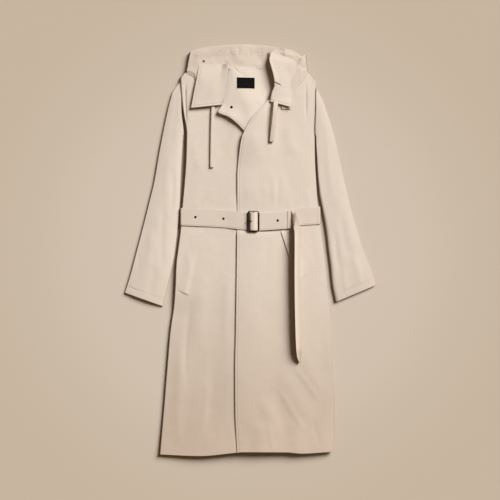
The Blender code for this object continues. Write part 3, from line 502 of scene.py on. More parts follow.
@dataclass
class Shell:
    """Wall of cloth on a grid of points, closed all round with a rounded edge.

    Attributes:
        name: the piece's name.
        points: rows by columns of points (mm).
        wall: thickness (mm).
        above: share of the wall that stands over the points, the rest is under them.
        ring: whether the last column joins the first.
        plan_weave: the cloth's own coordinates are its plan, not the distance run over it.
        hem: distance to the nearest finished edge at each point, where it has one (mm).
        rim_steps: steps of the rounded rim.
        thin: share of the wall kept at each point.
    """

    name: str
    points: Array
    wall: float = 1.5
    above: float = 0.5
    ring: bool = False
    plan_weave: bool = False
    hem: Array | None = None
    rim_steps: int = 4
    thin: Array | float = 1.0

    def walls(self) -> Array:
        """Thickness at every point, as rows by columns by one."""
        return np.broadcast_to(self.wall * self.thin, self.points.shape[:2])[..., None]

    def across(self) -> Pair:
        """Steps at every point, by central differences.

        Returns:
            The step from row to row and the step from column to column.
        """
        down = np.gradient(self.points, axis=0)
        if self.ring:
            side = (np.roll(self.points, -1, axis=1) - np.roll(self.points, 1, axis=1)) / 2
        else:
            side = np.gradient(self.points, axis=1)
        return down, side

    def normals(self) -> tuple[Array, float]:
        """Unit normals, up on a sheet and outwards on a tube.

        Returns:
            The normals, and 1 where the grid's own turn agrees with them or -1.
        """
        down, side = self.across()
        normal = unit(np.cross(side, down))
        if self.ring:
            middle = self.points.mean(axis=1, keepdims=True)
            sign = np.sign(np.sum((self.points - middle) * normal))
        else:
            sign = 1 if normal[..., 2].mean() > 0 else -1
        return normal * sign, float(sign)

    def borders(self) -> list[Pair]:
        """Closed loops round the grid's open borders.

        Returns:
            For each loop the numbers of its points, and its outward direction at each.
        """
        rows, columns = self.points.shape[:2]
        index = np.arange(rows * columns).reshape(rows, columns)
        down, side = self.across()
        if self.ring:
            return [(index[0], -down[0]), (index[-1, ::-1], down[-1, ::-1])]
        out = np.zeros_like(self.points)
        out[0] -= unit(down[0])
        out[-1] += unit(down[-1])
        out[:, 0] -= unit(side[:, 0])
        out[:, -1] += unit(side[:, -1])
        loop = np.concatenate([index[0], index[1:, -1], index[-1, -2::-1], index[-2:0:-1, 0]])
        return [(loop, out.reshape(-1, 3)[loop])]

    def weave(self) -> Array:
        """The cloth's own coordinates: its plan, or the distance run along columns and rows.

        Returns:
            Two coordinates at each point (m).
        """
        if self.plan_weave:
            return self.points[..., :2] * MM
        return np.stack([lengths(self.points, 1), lengths(self.points, 0)], axis=-1) * MM

    def cut(self) -> Cut:
        """Measure the flat cloth over the grid's middle surface.

        Returns:
            Its longest row and column, and the sum of its triangles' areas.
        """
        grid = self.points
        if self.ring:
            grid = np.concatenate([grid, grid[:, :1]], axis=1)
        first = np.cross(grid[1:, :-1] - grid[:-1, :-1], grid[:-1, 1:] - grid[:-1, :-1])
        second = np.cross(grid[:-1, 1:] - grid[1:, 1:], grid[1:, :-1] - grid[1:, 1:])
        area = (np.linalg.norm(first, axis=-1) + np.linalg.norm(second, axis=-1)).sum() / 2
        width = lengths(grid, 1)[:, -1].max() * MM
        length = lengths(grid, 0)[-1].max() * MM
        return Cut(width, length, min(area * MM * MM, width * length))

    def build(self) -> Item:
        """Top and bottom face of the wall and a rounded rim between them.

        The top is the grid moved along its normals, the bottom the same the other way, and the
        rim is half a circle carried round each border.

        Returns:
            The new object, smooth, with its own coordinates in the map "weave".
        """
        rows, columns = self.points.shape[:2]
        count = rows * columns
        normal, sign = self.normals()
        wall = self.walls()
        middle = (self.points + normal * wall * (self.above - 0.5)).reshape(-1, 3)
        normal = normal.reshape(-1, 3)
        half = wall.reshape(-1, 1) / 2
        vertices = [middle + normal * half, middle - normal * half]
        source = [np.arange(count), np.arange(count)]
        index = np.arange(count).reshape(rows, columns)
        top = quads(index[:-1], index[1:], self.ring)
        faces = [top, top[:, ::-1] + count]
        used = 2 * count
        for loop, out in self.borders():
            flat = unit(out - normal[loop] * np.sum(out * normal[loop], axis=-1, keepdims=True))
            layers = [loop]
            for k in range(1, self.rim_steps + 1):
                turn = math.pi / 2 - math.pi * k / (self.rim_steps + 1)
                reach = flat * math.cos(turn) + normal[loop] * math.sin(turn)
                vertices.append(middle[loop] + reach * half[loop])
                source.append(loop)
                layers.append(np.arange(used, used + len(loop)))
                used += len(loop)
            layers.append(loop + count)
            for upper, lower in zip(layers, layers[1:]):
                turned = [upper, lower, np.roll(lower, -1), np.roll(upper, -1)]
                faces.append(np.stack(turned, axis=-1))
        faces = np.concatenate(faces)
        if sign < 0:
            faces = faces[:, ::-1]
        origin = np.concatenate(source)
        placed = np.concatenate(vertices)
        placed[:, 2] = np.maximum(placed[:, 2], 0)
        item = solid(self.name, placed, faces)
        self.map_weave(item.data, faces, origin)
        if self.hem is not None:
            layer = item.data.attributes.new("hem", "FLOAT", "POINT")
            spread = (self.hem.reshape(-1)[origin] * MM).astype(np.float32)
            layer.data.foreach_set("value", spread)
        return item

    def map_weave(self, mesh: bpy.types.Mesh, faces: Array, origin: Array) -> None:
        """Write the cloth's own coordinates, carried past the join on a tube.

        Args:
            mesh: the mesh just made.
            faces: its faces.
            origin: the grid point each vertex comes from.
        """
        columns = self.points.shape[1]
        weave = self.weave().reshape(-1, 2)[origin][faces]
        if self.ring:
            place = (origin % columns)[faces]
            joins = place.max(axis=1) - place.min(axis=1) > columns // 2
            around = lengths(np.concatenate([self.points, self.points[:, :1]], axis=1), 1)
            whole = (around[:, -1] * MM)[origin // columns][faces]
            wrapped = joins[:, None] & (place < columns // 2)
            weave[..., 0] += np.where(wrapped, whole, 0)
        layer = mesh.uv_layers.new(name="weave")
        layer.data.foreach_set("uv", weave.reshape(-1).astype(np.float32))

    def line(self, edge: Edge, inset: float) -> Pair:
        """Line on the upper face a steady distance inside a border.

        Each row, or column, is run along from the border and read at that distance.

        Args:
            edge: the border.
            inset: distance from it (mm).

        Returns:
            The line's points and the surface normals there.
        """
        normal, _ = self.normals()
        grid = self.points + normal * self.walls() * self.above
        if edge in (Edge.FIRST, Edge.LAST):
            grid, normal = np.swapaxes(grid, 0, 1), np.swapaxes(normal, 0, 1)
        if edge in (Edge.END, Edge.LAST):
            grid, normal = grid[::-1], normal[::-1]
        run = lengths(grid, 0)
        row = np.clip((run < inset).sum(axis=0), 1, len(grid) - 1)
        place = np.arange(grid.shape[1])
        low, high = run[row - 1, place], run[row, place]
        share = np.clip((inset - low) / np.maximum(high - low, 1e-6), 0, 1)[:, None]
        points = grid[row - 1, place] * (1 - share) + grid[row, place] * share
        return points, normal[row, place]


def solid(name: str, vertices: Array, faces: Array) -> Item:
    """Object of four-sided faces, smooth, in the scene's collection.

    The attribute "level" holds how far each point's normal is upright, 0 on a side wall.

    Args:
        name: the piece's name.
        vertices: points (mm).
        faces: four vertex numbers a face.

    Returns:
        The new object.
    """
    mesh = bpy.data.meshes.new(name)
    mesh.vertices.add(len(vertices))
    mesh.vertices.foreach_set("co", (vertices * MM).astype(np.float32).reshape(-1))
    mesh.loops.add(faces.size)
    mesh.loops.foreach_set("vertex_index", faces.reshape(-1).astype(np.int32))
    mesh.polygons.add(len(faces))
    mesh.polygons.foreach_set("loop_start", np.arange(0, faces.size, 4, dtype=np.int32))
    mesh.polygons.foreach_set("use_smooth", np.ones(len(faces), dtype=bool))
    mesh.update(calc_edges=True)
    normals = np.empty(3 * len(vertices), dtype=np.float32)
    mesh.vertex_normals.foreach_get("vector", normals)
    level = mesh.attributes.new("level", "FLOAT", "POINT")
    level.data.foreach_set("value", np.abs(normals[2::3]))
    item = bpy.data.objects.new(name, mesh)
    bpy.context.scene.collection.objects.link(item)
    return item


def quads(upper: Array, lower: Array, ring: bool = True) -> Array:
    """Four-sided faces between rows of vertex numbers, the last joined to the first on a ring."""
    faces = np.stack([upper, np.roll(upper, -1, -1), np.roll(lower, -1, -1), lower], axis=-1)
    return (faces if ring else faces[..., :-1, :]).reshape(-1, 4)


def outward(points: Array, faces: Array) -> float:
    """1 where a closed surface's faces point outwards, else -1: the sign of its volume."""
    a, b, c, d = (points[faces[:, k]] for k in range(4))
    return np.sign(np.sum(np.cross(a, b) * c) + np.sum(np.cross(a, c) * d))


def tube(name: str, path: Array, radii: Array, closed: bool = False, flat: float = 1.0,
         sides: int = 16) -> Item:
    """Round wire along a path that keeps near level: a circle carried square to the path.

    The circle's axes are the path's level normal and what is square to both. An open wire
    shrinks to a point at both ends by a quarter circle.

    Args:
        name: the piece's name.
        path: points (mm).
        radii: radius at each point (mm).
        closed: whether the path joins itself.
        flat: height of the section over its width.
        sides: points round the section.

    Returns:
        The new object.
    """
    if closed:
        along = np.roll(path, -1, axis=0) - np.roll(path, 1, axis=0)
    else:
        lead = unit(path[0] - path[1]) * radii[0]
        tail = unit(path[-1] - path[-2]) * radii[-1]
        turn = np.linspace(math.pi / 2, 0.1, 5)[:, None]
        start = path[0] + lead * np.sin(turn)
        end = path[-1] + tail * np.sin(turn[::-1])
        radii = np.concatenate(
            [radii[0] * np.cos(turn[:, 0]), radii, radii[-1] * np.cos(turn[::-1, 0])]
        )
        path = np.concatenate([start, path, end])
        along = np.gradient(path, axis=0)
    side = unit(np.cross(unit(along), [0, 0, 1]))
    rise = np.cross(side, unit(along))
    angle = np.linspace(0, 2 * np.pi, sides, endpoint=False)[None, :, None]
    ring = side[:, None] * np.cos(angle) + rise[:, None] * np.sin(angle) * flat
    points = path[:, None] + ring * np.maximum(radii, 0.02)[:, None, None]
    return skin(name, points, closed)


def skin(name: str, points: Array, closed: bool = False) -> Item:
    """Closed surface of quads over rings of points, its faces turned outwards.

    Args:
        name: the piece's name.
        points: rings by points (mm).
        closed: whether the last ring joins the first; else each end ring closes on itself.

    Returns:
        The new object.
    """
    rows, sides = points.shape[:2]
    index = np.arange(rows * sides).reshape(rows, sides)
    below = np.roll(index, -1, axis=0) if closed else index[1:]
    above = index if closed else index[:-1]
    faces = [quads(above, below)]
    if not closed:
        half = np.arange(1, sides // 2)
        for ring, turned in ((index[0], True), (index[-1], False)):
            cap = np.stack([ring[half - 1], ring[half], ring[-half - 1], ring[-half]], axis=-1)
            faces.append(cap[:, ::-1] if turned else cap)
    faces = np.concatenate(faces)
    flat = points.reshape(-1, 3)
    return solid(name, flat, faces if outward(flat, faces) > 0 else faces[:, ::-1])


def turned(name: str, profile: Rows, foot: Place, sides: int = 40) -> Item:
    """Round part: a profile of radius and height turned about an upright line.

    Args:
        name: the piece's name.
        profile: radius and height of each ring, from the bottom up and back in (mm).
        foot: where the line starts (mm).
        sides: points round.

    Returns:
        The new object.
    """
    rings = np.array(profile, dtype=float)
    angle = np.linspace(0, 2 * np.pi, sides, endpoint=False)[None, :]
    x = rings[:, :1] * np.cos(angle)
    y = rings[:, :1] * np.sin(angle)
    return skin(name, stacked(x, y, rings[:, 1:]) + np.array(foot))


def sewn(name: str, lines: list[Pair],
         pitch: float = 3.4, thread: float = 0.34) -> Item:
    """Rows of sewn thread: one short capsule a stitch, its two ends sunk into the cloth.

    A stitch is a tube of six sides whose height follows half a sine over its length.

    Args:
        name: the piece's name.
        lines: for each row its points and the surface normals there (mm).
        pitch: length of a stitch and its gap.
        thread: radius of the thread.

    Returns:
        The new object.
    """
    vertices, faces, used = [], [], 0
    share = np.array([-0.43, -0.36, 0, 0.36, 0.43])
    girth = np.array([0.35, 0.85, 1, 0.85, 0.35]) * thread
    lift = np.array([-0.7, -0.1, 0.55, -0.1, -0.7]) * thread
    angle = np.linspace(0, 2 * np.pi, 6, endpoint=False)
    size = len(share) * len(angle)
    index = np.arange(size).reshape(len(share), len(angle))
    cap = np.array([[0, 1, 2, 3], [0, 3, 4, 5]])
    pattern = np.concatenate([quads(index[:-1], index[1:]), cap[:, ::-1], index[-1][cap]])
    for points, normal in lines:
        run = np.concatenate([[0], np.cumsum(np.linalg.norm(np.diff(points, axis=0), axis=1))])
        at = np.arange(pitch, run[-1] - pitch / 2, pitch)
        if len(at) == 0:
            continue
        place = np.stack([np.interp(at, run, points[:, k]) for k in range(3)], axis=-1)
        up = unit(np.stack([np.interp(at, run, normal[:, k]) for k in range(3)], axis=-1))
        ahead = np.stack([np.interp(at + 0.5, run, points[:, k]) for k in range(3)], axis=-1)
        along = unit(ahead - place)
        side = np.cross(along, up)
        length = share[None, :, None, None] * pitch * along[:, None, None, :]
        height = lift[None, :, None, None] * up[:, None, None, :]
        radius = girth[None, :, None, None]
        ring = np.cos(angle)[None, None, :, None] * side[:, None, None, :]
        ring = ring + np.sin(angle)[None, None, :, None] * up[:, None, None, :]
        made = place[:, None, None, :] + length + height + ring * radius
        vertices.append(made.reshape(-1, 3))
        shift = used + size * np.arange(len(at))
        faces.append((pattern[None] + shift[:, None, None]).reshape(-1, 4))
        used += size * len(at)
    vertices, faces = np.concatenate(vertices), np.concatenate(faces)
    first = vertices[:size] - vertices[:size].mean(axis=0)
    faces = faces if outward(first, pattern) > 0 else faces[:, ::-1]
    return dress(solid(name, vertices, faces), THREAD)


# ---- finishes
class Graph:
    """Node graph of one material."""

    def __init__(self, name: str) -> None:
        """Start a material with a Principled shader.

        Args:
            name: the material's name.
        """
        self.material = bpy.data.materials.new(name)
        self.material.use_nodes = True
        self.tree = self.material.node_tree
        self.shader = self.tree.nodes["Principled BSDF"]

    def node(self, kind: str, inputs: dict | None = None, **settings: object) -> bpy.types.Node:
        """Add a node.

        Args:
            kind: the node's type name.
            inputs: values or sockets by input name or number.
            settings: its other properties.

        Returns:
            The node.
        """
        made = self.tree.nodes.new(kind)
        for key, value in settings.items():
            setattr(made, key, value)
        for key, value in (inputs or {}).items():
            self.feed(made.inputs[key], value)
        return made

    def feed(self, socket: Socket, value: object) -> None:
        """Link a socket to an input, or set it.

        Args:
            socket: the input.
            value: a socket, or a number or colour.
        """
        if isinstance(value, Socket):
            self.tree.links.new(value, socket)
        else:
            socket.default_value = value

    def sum(self, kind: str, *values: object) -> Socket:
        """Result of a Math node."""
        inputs = dict(enumerate(values))
        return self.node("ShaderNodeMath", inputs, operation=kind).outputs[0]

    def noise(self, scale: float, detail: float, rough: float = 0.5) -> Socket:
        """Noise over the coat's own place.

        Args:
            scale: how fine it is.
            detail: how many finer noises it adds.
            rough: how strong they are.

        Returns:
            The noise, from 0 to 1.
        """
        where = self.node("ShaderNodeTexCoord").outputs["Object"]
        inputs = {"Vector": where, "Scale": scale, "Detail": detail, "Roughness": rough}
        return self.node("ShaderNodeTexNoise", inputs).outputs[0]

    def wave(self, value: object, pitch: float) -> Socket:
        """Sine of a distance with a given pitch (m)."""
        return self.sum("SINE", self.sum("MULTIPLY", value, 2 * math.pi / pitch))

    def blend(self, share: object, low: object, high: object,
              kind: str = "MIX") -> Socket:
        """Colour between two colours, or between a colour and its blend with another.

        Args:
            share: 0 for the first, 1 for the second.
            low: first colour.
            high: second colour.
            kind: how the second meets the first.

        Returns:
            The colour.
        """
        made = self.node("ShaderNodeMix", data_type="RGBA", blend_type=kind)
        self.feed(made.inputs["Factor"], share)
        for socket, value in zip((made.inputs[6], made.inputs[7]), (low, high)):
            self.feed(socket, (*value, 1) if isinstance(value, tuple) else value)
        return made.outputs[2]

    def ramp(self, value: object, span: Span, shape: str = "SMOOTHSTEP") -> Socket:
        """Share from 0 at a span's start to 1 at its end."""
        inputs = {0: value, 1: span[0], 2: span[1], 3: 0, 4: 1}
        return self.node("ShaderNodeMapRange", inputs, interpolation_type=shape).outputs[0]

    def line(self, value: object, at: float, half_width: float) -> Socket:
        """Bell curve of a distance about a place: 1 there, 0 a few half widths off (m)."""
        off = self.sum("DIVIDE", self.sum("SUBTRACT", value, at), half_width)
        return self.sum("EXPONENT", self.sum("MULTIPLY", self.sum("MULTIPLY", off, off), -1))

    def emboss(self, height: object) -> None:
        """Bump of a height in metres."""
        made = self.node("ShaderNodeBump", {"Height": height, "Strength": 1, "Distance": 1})
        self.settle(Normal=made.outputs[0])

    def settle(self, **values: object) -> None:
        """Set or link the shader's own inputs, with spaces for underscores."""
        for key, value in values.items():
            self.feed(self.shader.inputs[key.replace("_", " ")], value)


def scaled(colour: Colour, share: float) -> Colour:
    """A colour made lighter or darker by a share."""
    return tuple(min(1, c * share) for c in colour)


@dataclass(frozen=True)
class ClothFinish:
    """Woven cloth: twill lines and yarns, fuzz, uneven dye, sunk rows of sewing with dust and
    painted shade in them, and painted shade low down, on slopes and on upright sides.
    """

    name: str
    colour: Colour = (0.735, 0.642, 0.543)
    pitch: float = 0.95
    relief: float = 0.022
    crumple: float = 0.16
    mottle: float = 0.035
    roughness: float = 0.88
    sheen: float = 0.12
    rows: tuple[float, ...] = ()
    groove: float = 0.22
    # half widths of the groove and of the worn edge (mm), their tones and how much they show; the
    # groove's tone is dust and painted shade
    groove_width: float = 0.8
    groove_dust_and_shade: Span = (0.45, 0.1)
    worn_width: float = 1.3
    worn_tone: Span = (1.09, 0.15)
    diagonal: float = 1.0
    gloss: float = 0.22
    # painted shade: darker low down the coat, on slopes and on upright sides, and where each starts
    # and is full
    painted_low_shade: Colour = (0.78, 0.715, 0.665)
    painted_low_span: Span = (0.06, -0.70)
    painted_slope_shade: Colour = (0.70, 0.68, 0.66)
    painted_slope_span: Span = (0.996, 0.85)
    painted_side_shade: Colour = (0.30, 0.21, 0.14)
    painted_side_span: Span = (0.65, 0.25)

    def material(self) -> bpy.types.Material:
        """Build the finish.

        The height is the sum of a diagonal wave, a finer yarn wave, two noises and a bell
        shaped groove at each row of sewing, read from the distance to the finished edge.

        Returns:
            The material.
        """
        graph = Graph(self.name)
        weave = graph.node("ShaderNodeUVMap", uv_map="weave").outputs[0]
        split = graph.node("ShaderNodeSeparateXYZ", {0: weave})
        u, v = split.outputs[0], split.outputs[1]
        slant = graph.sum("ADD", u, graph.sum("MULTIPLY", v, self.diagonal))
        twill = graph.wave(slant, self.pitch * MM)
        yarn = graph.wave(graph.sum("SUBTRACT", u, v), self.pitch * MM * 0.43)
        height = graph.sum("MULTIPLY", twill, self.relief * MM)
        fuzz, loose = graph.noise(1700, 2), graph.noise(17, 3, 0.45)
        for wave, relief in (
            (yarn, self.relief * 0.45), (fuzz, self.relief * 1.6), (loose, self.crumple * 6),
        ):
            height = graph.sum("MULTIPLY_ADD", wave, relief * MM, height)
        dye, fleck = graph.noise(9, 4, 0.55), graph.noise(420, 3, 0.7)
        tone = graph.sum("MULTIPLY_ADD", fleck, 0.45, graph.sum("MULTIPLY", dye, 0.55))
        tone = graph.sum("MULTIPLY_ADD", twill, 0.05, tone)
        low, high = scaled(self.colour, 1 - self.mottle), scaled(self.colour, 1 + self.mottle)
        colour = graph.blend(tone, low, high)
        place = graph.node("ShaderNodeTexCoord").outputs["Object"]
        down = graph.node("ShaderNodeSeparateXYZ", {0: place}).outputs[1]
        # painted shade: darker towards the bottom of the coat, for the light's falloff
        colour = graph.blend(graph.ramp(down, self.painted_low_span), colour, self.painted_low_shade, "MULTIPLY")
        if self.rows:
            hem = graph.node("ShaderNodeAttribute", attribute_name="hem").outputs["Fac"]
            for row in self.rows:
                sunk = graph.line(hem, row * MM, self.groove_width * MM)
                height = graph.sum("MULTIPLY_ADD", sunk, -self.groove * MM, height)
                # dust and painted shade in the sewing groove
                shade, share = self.groove_dust_and_shade
                sunk = graph.sum("MULTIPLY", sunk, share)
                colour = graph.blend(sunk, colour, scaled(self.colour, shade))
            shade, share = self.worn_tone
            worn = graph.sum("MULTIPLY", graph.line(hem, 0, self.worn_width * MM), share)
            colour = graph.blend(worn, colour, scaled(self.colour, shade))
        # painted shade on slopes and upright sides, read from how upright each point's normal is
        level = graph.node("ShaderNodeAttribute", attribute_name="level").outputs["Fac"]
        for span, tint in (
            (self.painted_slope_span, self.painted_slope_shade), (self.painted_side_span, self.painted_side_shade),
        ):
            colour = graph.blend(graph.ramp(level, span, "LINEAR"), colour, tint, "MULTIPLY")
        graph.emboss(height)
        graph.settle(Base_Color=colour, Roughness=self.roughness, Specular_IOR_Level=self.gloss)
        graph.settle(Sheen_Weight=self.sheen, Sheen_Roughness=0.55)
        return graph.material


@dataclass(frozen=True)
class MetalFinish:
    """Dark bronze: brushed, a little uneven in tone and gloss."""

    name: str
    colour: Colour = (0.105, 0.078, 0.055)
    roughness: float = 0.33

    def material(self) -> bpy.types.Material:
        """Build the finish from two noises: one for tone and gloss, one for fine scratches.

        Returns:
            The material.
        """
        graph = Graph(self.name)
        tarnish = graph.noise(260, 4, 0.6)
        colour = graph.blend(tarnish, scaled(self.colour, 0.55), scaled(self.colour, 1.7))
        gloss = graph.sum("MULTIPLY_ADD", tarnish, 0.22, self.roughness - 0.11)
        graph.emboss(graph.sum("MULTIPLY", graph.noise(3200, 2), 0.012 * MM))
        graph.settle(Base_Color=colour, Roughness=gloss, Metallic=0.92)
        return graph.material


@dataclass(frozen=True)
class FloorFinish:
    """Smooth pale board, with painted shade that darkens it far from its middle for the light's
    falloff.
    """

    name: str = "pale_board"
    colour: Colour = (0.655, 0.573, 0.474)
    painted_falloff_colour: Colour = (0.583, 0.494, 0.386)
    painted_falloff_span: Span = (0.35, 0.95)

    def material(self) -> bpy.types.Material:
        """Build the finish: painted shade between two colours by the distance from the middle,
        barely uneven.

        Returns:
            The material.
        """
        graph = Graph(self.name)
        tone = graph.noise(3, 3)
        low, high = scaled(self.colour, 0.985), scaled(self.colour, 1.015)
        place = graph.node("ShaderNodeTexCoord").outputs["Object"]
        reach = graph.node("ShaderNodeVectorMath", {0: place}, operation="LENGTH").outputs[1]
        # painted shade: the board darkens far from its middle, for the light's falloff
        far = graph.ramp(reach, self.painted_falloff_span)
        colour = graph.blend(far, graph.blend(tone, low, high), self.painted_falloff_colour)
        graph.emboss(graph.sum("MULTIPLY", graph.noise(900, 2), 0.01 * MM))
        graph.settle(Base_Color=colour, Roughness=0.95, Specular_IOR_Level=0.1)
        return graph.material


Finish = ClothFinish | MetalFinish
# materials made so far, by the names of their finishes
MADE: dict[str, bpy.types.Material] = {}


def dress(item: Item, finish: Finish, nodes: Names = ()) -> Item:
    """Finish a piece and tie it to the coat's one body; each finish is made once.

    Args:
        item: the piece.
        finish: its finish.
        nodes: CAD nodes it stands for.

    Returns:
        The piece.
    """
    if finish.name not in MADE:
        MADE[finish.name] = finish.material()
    item.data.materials.clear()
    item.data.materials.append(MADE[finish.name])
    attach(item, "root")
    if nodes:
        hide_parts(*nodes)
    LOG.info("%s: %d faces", item.name, len(item.data.polygons))
    return item


def lay(shell: Shell, finish: Finish, nodes: Names) -> Item:
    """Args:
        shell: the cloth.
        finish: its finish.
        nodes: CAD nodes it stands for.

    Returns:
        The piece.
    """
    item = dress(shell.build(), finish, nodes)
    cut = shell.cut()
    LOG.info("%s cut: %.3f x %.3f m, %.4f m2", item.name, cut.width, cut.length, cut.area)
    return item


COAT = ClothFinish("coat_twill")
# the coat's cloth made darker for the hood: painted shade
HOOD_PAINTED_SHADE = ClothFinish("hood_twill_painted_shade", colour=(0.700, 0.603, 0.498))
COAT_SEWN = ClothFinish("coat_twill_sewn", rows=(EDGE_ROW,))
# the coat's cloth made darker for the belt, which is painted shade, with its own weaker painted
# shade low down, on slopes and on sides
BELT_PAINTED_SHADE = ClothFinish("belt_twill_painted_shade", colour=(0.710, 0.614, 0.518), rows=(BELT_ROW,), diagonal=-1,
                   painted_low_shade=(0.95, 0.93, 0.91), painted_slope_shade=(0.93, 0.90, 0.87),
                   painted_side_span=(0.85, 0.45))
TAPE = ClothFinish("drawcord_tape", pitch=1.6, relief=0.07, crumple=0.05,
                   colour=(0.745, 0.652, 0.545), roughness=0.8)
WOVEN_BLACK = ClothFinish("label_black", colour=(0.0065, 0.006, 0.006), pitch=0.7, relief=0.05,
                          crumple=0.03, mottle=0.25, roughness=0.85, sheen=0, diagonal=0,
                          gloss=0.06)
THREAD = ClothFinish("thread", colour=(0.735, 0.638, 0.528), pitch=0.5, relief=0.04, crumple=0,
                     roughness=0.7)
BRONZE = MetalFinish("dark_bronze", (0.03, 0.022, 0.016), 0.6)
BRASSY = MetalFinish("eyelet_bronze", (0.012, 0.008, 0.006), 0.8)
WORN_BRASS = MetalFinish("eyelet_worn_brass", (0.17, 0.13, 0.10), 0.8)


# ---- pieces
def hemmed(shell: Shell, edges: tuple[Edge, ...]) -> Shell:
    """Mark a shell with the distance over the cloth to its nearest finished edge.

    Args:
        shell: the cloth.
        edges: its finished borders.

    Returns:
        The same shell.
    """
    nearest = np.full(shell.points.shape[:2], NO_EDGE)
    down, side = lengths(shell.points, 0), lengths(shell.points, 1)
    for edge in edges:
        run = {
            Edge.START: down, Edge.END: down[-1:] - down,
            Edge.FIRST: side, Edge.LAST: side[:, -1:] - side,
        }[edge]
        nearest = np.minimum(nearest, run)
    shell.hem = nearest
    return shell


def body_plan(left: Array, right: Array, y: Array, share: Array) -> Pair:
    """Plan of a body panel between two edges, bent to the hem line and the shoulder line.

    The hem's bend dies out up the coat as the eighth power of the share left, and the
    shoulder's bend is a smooth step over the last stretch.

    Args:
        left: its left edge at each row.
        right: its right edge at each row.
        y: the rows.
        share: places across, from 0 to 1.

    Returns:
        Places across and along the coat.
    """
    x = left + (right - left) * share
    up = (y - y[0]) / (y[-1] - y[0])
    near_hem = (1 - up) ** 8
    near_top = between(y, FORM.shoulder_bend, FORM.shoulder_bend + 100)
    return x, y + (FORM.hem(x) - y[0]) * near_hem + (FORM.shoulder(x) - y[-1]) * near_top


@dataclass
class Body:
    """Back panel and the two fronts."""

    bottom: float = -650.0
    top: float = 577.0
    rows: int = 304
    columns: int = 92
    # how far the back's hem stays short of the fronts', and over which stretch
    hem_short: float = 1.5
    hem_zone: Span = (-655, -595)

    def levels(self, rows: int) -> Array:
        """Rows of a panel from hem to shoulder, a little closer at both ends."""
        return self.bottom + (self.top - self.bottom) * eased(rows, 0.45)[:, None]

    def back(self) -> Shell:
        """Back panel: flat on the floor, raised in one hump over the belt's back run.

        Returns:
            The cloth.
        """
        y = self.levels(170)
        x, down = body_plan(FORM.left(y), FORM.right(y), y, eased(56, 0.8)[None, :])
        down = down + self.hem_short * (1 - between(down, *self.hem_zone))
        points = stacked(x, down, FORM.back_mid(down))
        return hemmed(Shell("back_panel_cloth", points, plan_weave=True), (Edge.START,))

    def front(self, side: Side) -> Shell:
        """A front: its plan between side seam and front edge, at the form's height.

        Args:
            side: which front.

        Returns:
            The cloth.
        """
        y = self.levels(self.rows)
        left, right, mid = {
            Side.LEFT: (FORM.left, FORM.under, FORM.left_mid),
            Side.RIGHT: (FORM.over, FORM.right, FORM.right_mid),
        }[side]
        x, down = body_plan(left(y), right(y), y, eased(self.columns, 0.82)[None, :])
        shell = Shell(f"front_{side.word}_cloth", stacked(x, down, mid(x, down)), plan_weave=True)
        return hemmed(shell, (Edge.START,))

    def build(self) -> None:
        """Make and dress the three panels and the right front's sewing."""
        back = self.back()
        lay(back, COAT, ("back_panel",))
        for side in Side:
            front = self.front(side)
            nodes = (f"front_{side.word}",)
            lay(front, COAT, nodes)
        sewn("body_sewing", [front.line(Edge.FIRST, EDGE_ROW)])


